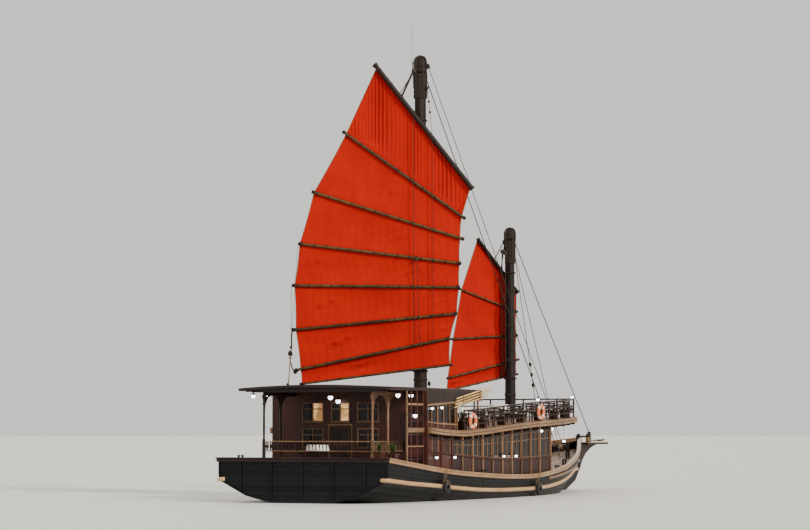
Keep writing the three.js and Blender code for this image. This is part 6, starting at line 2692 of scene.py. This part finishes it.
    def underwater(self) -> None:
        """The rudder and the propeller with its twisted blades."""
        coated("rudder", UNDERBODY)
        shape = Shape("propeller_cast", BRONZE)
        x0, x1, z = 4.02 - AMIDSHIPS, 4.4995 - AMIDSHIPS, -1.12
        hub = Vector((x0, 0, z))
        shape.turned(
            hub, [(0.0, 0), (0.04, 0.01), (0.066, 0.06), (0.08, 0.2), (0.1, 0.42), (0.109, x1 - x0)], 20,
            AHEAD
        )
        middle = Vector(((x0 + x1) / 2, 0, z))
        for i in range(4):
            spin = Matrix.Rotation(math.tau * i / 4, 3, "X")
            rings = []
            for k in range(9):
                r = 0.06 + 0.36 * k / 8
                pitch = math.atan2(0.16, r) * 0.75 + 0.12
                chord = 0.12 * math.sin(math.pi * (0.18 + 0.78 * k / 8)) ** 0.6 + 0.004
                blade = []
                for a in range(10):
                    turn = math.tau * a / 10
                    s, n = chord * math.cos(turn), (0.018 - 0.012 * k / 8) * math.sin(turn)
                    blade.append(middle + spin @ Vector((s * math.sin(pitch) + n * math.cos(pitch),
                                                         s * math.cos(pitch) - n * math.sin(pitch), r)))
                rings.append(blade)
            shape.skin(rings)
        shape.piece("screw", ["propeller"])

    def build(self) -> None:
        """Makes the fittings."""
        self.life_rings()
        self.poles()
        self.lamps()
        self.antenna()
        self.platform()
        self.windlass()
        self.hatch()
        self.anchor()
        self.underwater()


@dataclass
class Furniture:
    """Benches with cushions, tables with stools, and plant tubs on the decks."""

    bench_places: tuple[float, ...] = (9.7, 11.9, 14.1, 16.3, 18.5, 20.7)
    tub_places: tuple[float, ...] = (8.6, 10.8, 13.0, 15.2, 17.4, 19.6, 21.7)
    table_places: tuple[tuple[float, float], ...] = ((9.9, 0.9), (14.4, -0.9), (16.7, 0.9), (19.0, -0.8))
    seat: float = 0.44
    bench_inset: float = 0.4
    tub_inset: float = 0.32
    cloth_size: float = 1.44
    cushion_half: tuple[float, float, float] = (0.66, 0.2, 0.042)

    def bench(self, shape: Shape, centre: Vector, side: int) -> None:
        """A slatted bench with its back to the railing.

        Args:
            shape: the piece that it is part of.
            centre: the middle of its foot.
            side: 1 to port and -1 to starboard.
        """
        for a in (-0.68, 0.68):
            for b, high in ((-0.2, self.seat), (0.2, 0.84)):
                foot = centre + Vector((a, side * b, 0))
                shape.timber(foot, foot + UP * high, 0.05, 0.05, 0.008, 0, AHEAD)
            rail = centre + Vector((a, 0, self.seat - 0.03))
            shape.timber(rail - PORT * 0.22, rail + PORT * 0.22, 0.04, 0.05)
            arm = centre + Vector((a, 0, 0.64))
            shape.timber(arm - PORT * 0.22, arm + PORT * 0.22, 0.06, 0.03)
        slats = [(0.08 * k - 0.2, self.seat + 0.01) for k in range(6)]
        for b, high in slats + [(0.21, 0.58), (0.21, 0.69), (0.21, 0.8)]:
            wide, thick = (0.06, 0.022) if high < 0.5 else (0.022, 0.07)
            bar = centre + Vector((0, side * b, high))
            shape.timber(bar - AHEAD * 0.74, bar + AHEAD * 0.74, wide, thick, 0.005)

    def cushion(self, name: str, centre: Vector, half: tuple[float, float, float]) -> None:
        """A crowned seat cushion with a piped edge and drawn-in sides.

        Args:
            name: its name.
            centre: its middle.
            half: half its length, depth and height.
        """
        shape = Shape(name, LINEN)
        rings = []
        for lift, full in (
            (-1, 0.0), (-0.96, 0.5), (-0.8, 0.86), (-0.45, 0.975), (-0.08, 1.0), (-0.05, 1.012),
            (0.05, 1.012), (0.08, 1.0), (0.45, 0.965), (0.78, 0.84), (0.95, 0.5), (1.03, 0.0)
        ):
            ring = []
            for k in range(48):
                turn = math.tau * k / 48
                c, n = math.cos(turn), math.sin(turn)
                power = 0.32
                x = half[0] * math.copysign(abs(c) ** power, c) * (1 - 0.035 * abs(n) ** 6)
                y = half[1] * math.copysign(abs(n) ** power, n) * (1 - 0.03 * abs(c) ** 6)
                pucker = 0.004 * math.sin(turn * 11) * (1 - full)
                ring.append(
                    centre + Vector((x * max(full, 0.02), y * max(full, 0.02), half[2] * lift + pucker))
                )
            rings.append(ring)
        shape.skin(rings)
        shape.piece("ship")

    def tub(self, shape: Shape, foot: Vector) -> None:
        """A square planting tub with a leafy shrub.

        Args:
            shape: the piece that it is part of.
            foot: the middle of its foot.
        """
        rings = [
            [foot + Vector((x * r, y * r, z)) for x, y in ((1, 1), (-1, 1), (-1, -1), (1, -1))]
            for r, z in ((0.15, 0), (0.19, 0.34), (0.21, 0.34), (0.21, 0.39), (0.17, 0.39), (0.17, 0.34))
        ]
        shape.skin(rings)
        top = foot + UP * 0.34
        for k in range(9):
            turn, lean = k * 2.4, 0.05 + 0.09 * shape.dice.random()
            tip = top + Vector(
                (math.cos(turn) * lean, math.sin(turn) * lean, 0.3 + 0.25 * shape.dice.random())
            )
            shape.tube(sag(top, tip, -0.02, 4), 0.007, 5, 1)
            for m in range(11):
                stem = top.lerp(tip, 0.25 + 0.07 * m)
                way = turn + m * 2.4
                out = Vector((math.cos(way), math.sin(way), 0.5)).normalized()
                across = out.cross(UP).normalized() * 0.026
                reach = 0.09 + 0.05 * shape.dice.random()
                leaf = [stem, stem + out * reach * 0.5 + across, stem + out * reach - UP * 0.01,
                        stem + out * reach * 0.5 - across]
                shape.slab(leaf, UP * 0.002, 2)

    def table(self, name: str, d: float, y: float, deck: float) -> None:
        """A round table with a cloth that hangs in folds, and four stools.

        Args:
            name: its name.
            d: the place along the ship.
            y: the distance to port.
            deck: the deck's height there.
        """
        foot = at(d, y, deck)
        shape = Shape(name, DARK_WOOD)
        shape.turned(
            foot, [(0.2, 0), (0.2, 0.03), (0.05, 0.08), (0.04, 0.4), (0.06, 0.66), (0.12, 0.7)], 14
        )
        shape.turned(foot, [(0.44, 0.7), (0.45, 0.71), (0.45, 0.735), (0.44, 0.74)], 40)
        for k in range(4):
            stool = foot + heading(math.pi * (k / 2 + 0.25)) * 0.78
            for leg in range(4):
                out = heading(math.pi * leg / 2)
                shape.timber(
                    stool + out * 0.17, stool + out * 0.13 + UP * 0.43, 0.03, 0.03, 0.005, 0, AHEAD
                )
            shape.turned(stool, [(0.17, 0.42), (0.18, 0.43), (0.18, 0.45), (0.16, 0.465)], 20)
        shape.piece("ship")
        cloth = Shape(name + "_cloth", LINEN)
        rings = []
        for k in range(13):
            ring = []
            for m in range(96):
                turn = math.tau * m / 96
                if k < 6:
                    r, z = 0.45 * k / 5 + 0.004, 0.744
                else:
                    fall = (k - 5) / 7
                    wave = math.sin(turn * 9 + 0.6 * math.sin(turn * 2)) * fall
                    r, z = 0.457 + 0.035 * fall + 0.035 * wave, 0.744 - 0.26 * fall
                ring.append(foot + Vector((math.cos(turn) * r, math.sin(turn) * r, z)))
            rings.append(ring)
        cloth.skin(rings, capped=False)
        made = cloth.piece("ship")

    def build(self) -> None:
        """Makes the furniture of both decks."""
        for name, side in SIDES.items():
            benches = Shape("deck_benches_" + name, HOUSE)
            for number, d in enumerate(self.bench_places, 1):
                y = side * (UpperDeck().edge(d) - self.bench_inset)
                centre = at(d, y, LINES.upper_top(d) + PLANK_RISE)
                self.bench(benches, centre, side)
                self.cushion(
                    f"bench_cushion_{name}_{number}", centre + Vector((0, -side * 0.01, self.seat + 0.065)),
                    self.cushion_half
                )
            benches.piece("ship")
            tubs = Shape("plant_tubs_" + name, REDWOOD, SPAR, LEAF)
            for d in self.tub_places:
                self.tub(
                    tubs,
                    at(d, side * (UpperDeck().edge(d) - self.tub_inset), LINES.upper_top(d) + PLANK_RISE)
                )
            tubs.piece("ship")
        for number, (d, y) in enumerate(self.table_places, 1):
            self.table(f"table_{number}", d, y, LINES.upper_top(d) + PLANK_RISE)
        self.table("aft_table", 2.15, 0.4, LINES.deck_z(2.15, 0.4))
        aft = Shape("plant_tubs_aft", REDWOOD, SPAR, LEAF)
        for d, y in ((0.75, -3.3), (1.75, -3.45), (2.3, -3.2)):
            self.tub(aft, at(d, y, LINES.deck_z(d, y)))
        aft.piece("ship")


@dataclass
class Studio:
    """The pale floor at the waterline, the soft lights and the camera."""

    eye: tuple[float, float, float] = (-115.47, -52.94, 3.04)
    aim: tuple[float, float, float] = (-2.79, 1.78, 11.03)
    photo_focal: float = 1540 / 810 * 36
    zoom: float = 1.7
    floor: float = 3000
    lit_height: float = 8

    def build(self) -> None:
        """Makes the stage and the camera."""
        mesh = bpy.data.meshes.new("floor")
        half = self.floor
        mesh.from_pydata(
            [(-half, -half, 0), (half, -half, 0), (half, half, 0), (-half, half, 0)], [], [(0, 1, 2, 3)]
        )
        floor = bpy.data.objects.new("floor", mesh)
        bpy.context.scene.collection.objects.link(floor)
        bench = Bench("studio_floor")
        patches = bench.noise(bench.place(), 0.02, 2)
        mesh.materials.append(bench.surface(
            Base_Color=bench.blend(patches, tint("d2d0cc"), tint("d6d4d0")), Roughness=0.75))
        world = bpy.data.worlds.new("studio")
        world.use_nodes = True
        world.node_tree.nodes["Background"].inputs[0].default_value = (*tint("f0eeea"), 1)
        world.node_tree.nodes["Background"].inputs[1].default_value = 1.05
        bpy.context.scene.world = world
        self.light("key", (-30, -85, 55), 14, 3.6, (1, 0.95, 0.87))
        self.light("fill", (-100, 40, 45), 50, 0.5, (0.93, 0.96, 1))
        self.light("back", (70, 50, 50), 40, 0.8, (1, 0.93, 0.84))
        data = bpy.data.cameras.new("camera")
        data.sensor_width = 36
        data.lens = self.photo_focal * self.zoom
        data.clip_start, data.clip_end = 1, 2000
        camera = bpy.data.objects.new("camera", data)
        bpy.context.scene.collection.objects.link(camera)
        camera.location = self.eye
        look = Vector(self.aim) - Vector(self.eye)
        camera.rotation_euler = look.to_track_quat("-Z", "Y").to_euler()
        bpy.context.scene.camera = camera

    def light(
        self, name: str, place: tuple[float, float, float], spread: float, power: float, colour: Colour
    ) -> None:
        """A wide soft light aimed at the ship, as even as a sky's.

        Args:
            name: its name.
            place: where it shines from.
            spread: how wide it looks, in degrees.
            power: its strength.
            colour: its colour.
        """
        data = bpy.data.lights.new(name, "SUN")
        data.angle, data.energy, data.color = math.radians(spread), power, colour
        made = bpy.data.objects.new(name, data)
        made.location = place
        made.rotation_euler = (UP * self.lit_height - Vector(place)).to_track_quat("-Z", "Y").to_euler()
        bpy.context.scene.collection.objects.link(made)


def main() -> None:
    """Builds the stage and the ship, sub-assembly by sub-assembly."""
    logging.basicConfig(level=logging.INFO, format="%(name)s %(message)s")
    for assembly in (
        Studio(), Hull(), House(), UpperDeck(), UpperCabin(), Roof(), Shelter(), MAIN_MAST, FORE_MAST,
        MAIN_SAIL, FORE_SAIL, Rigging(), Fittings(), Furniture(),
    ):
        log.info("building %s", type(assembly).__name__)
        assembly.build()
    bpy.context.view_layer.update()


if __name__ == "__main__":
    main()
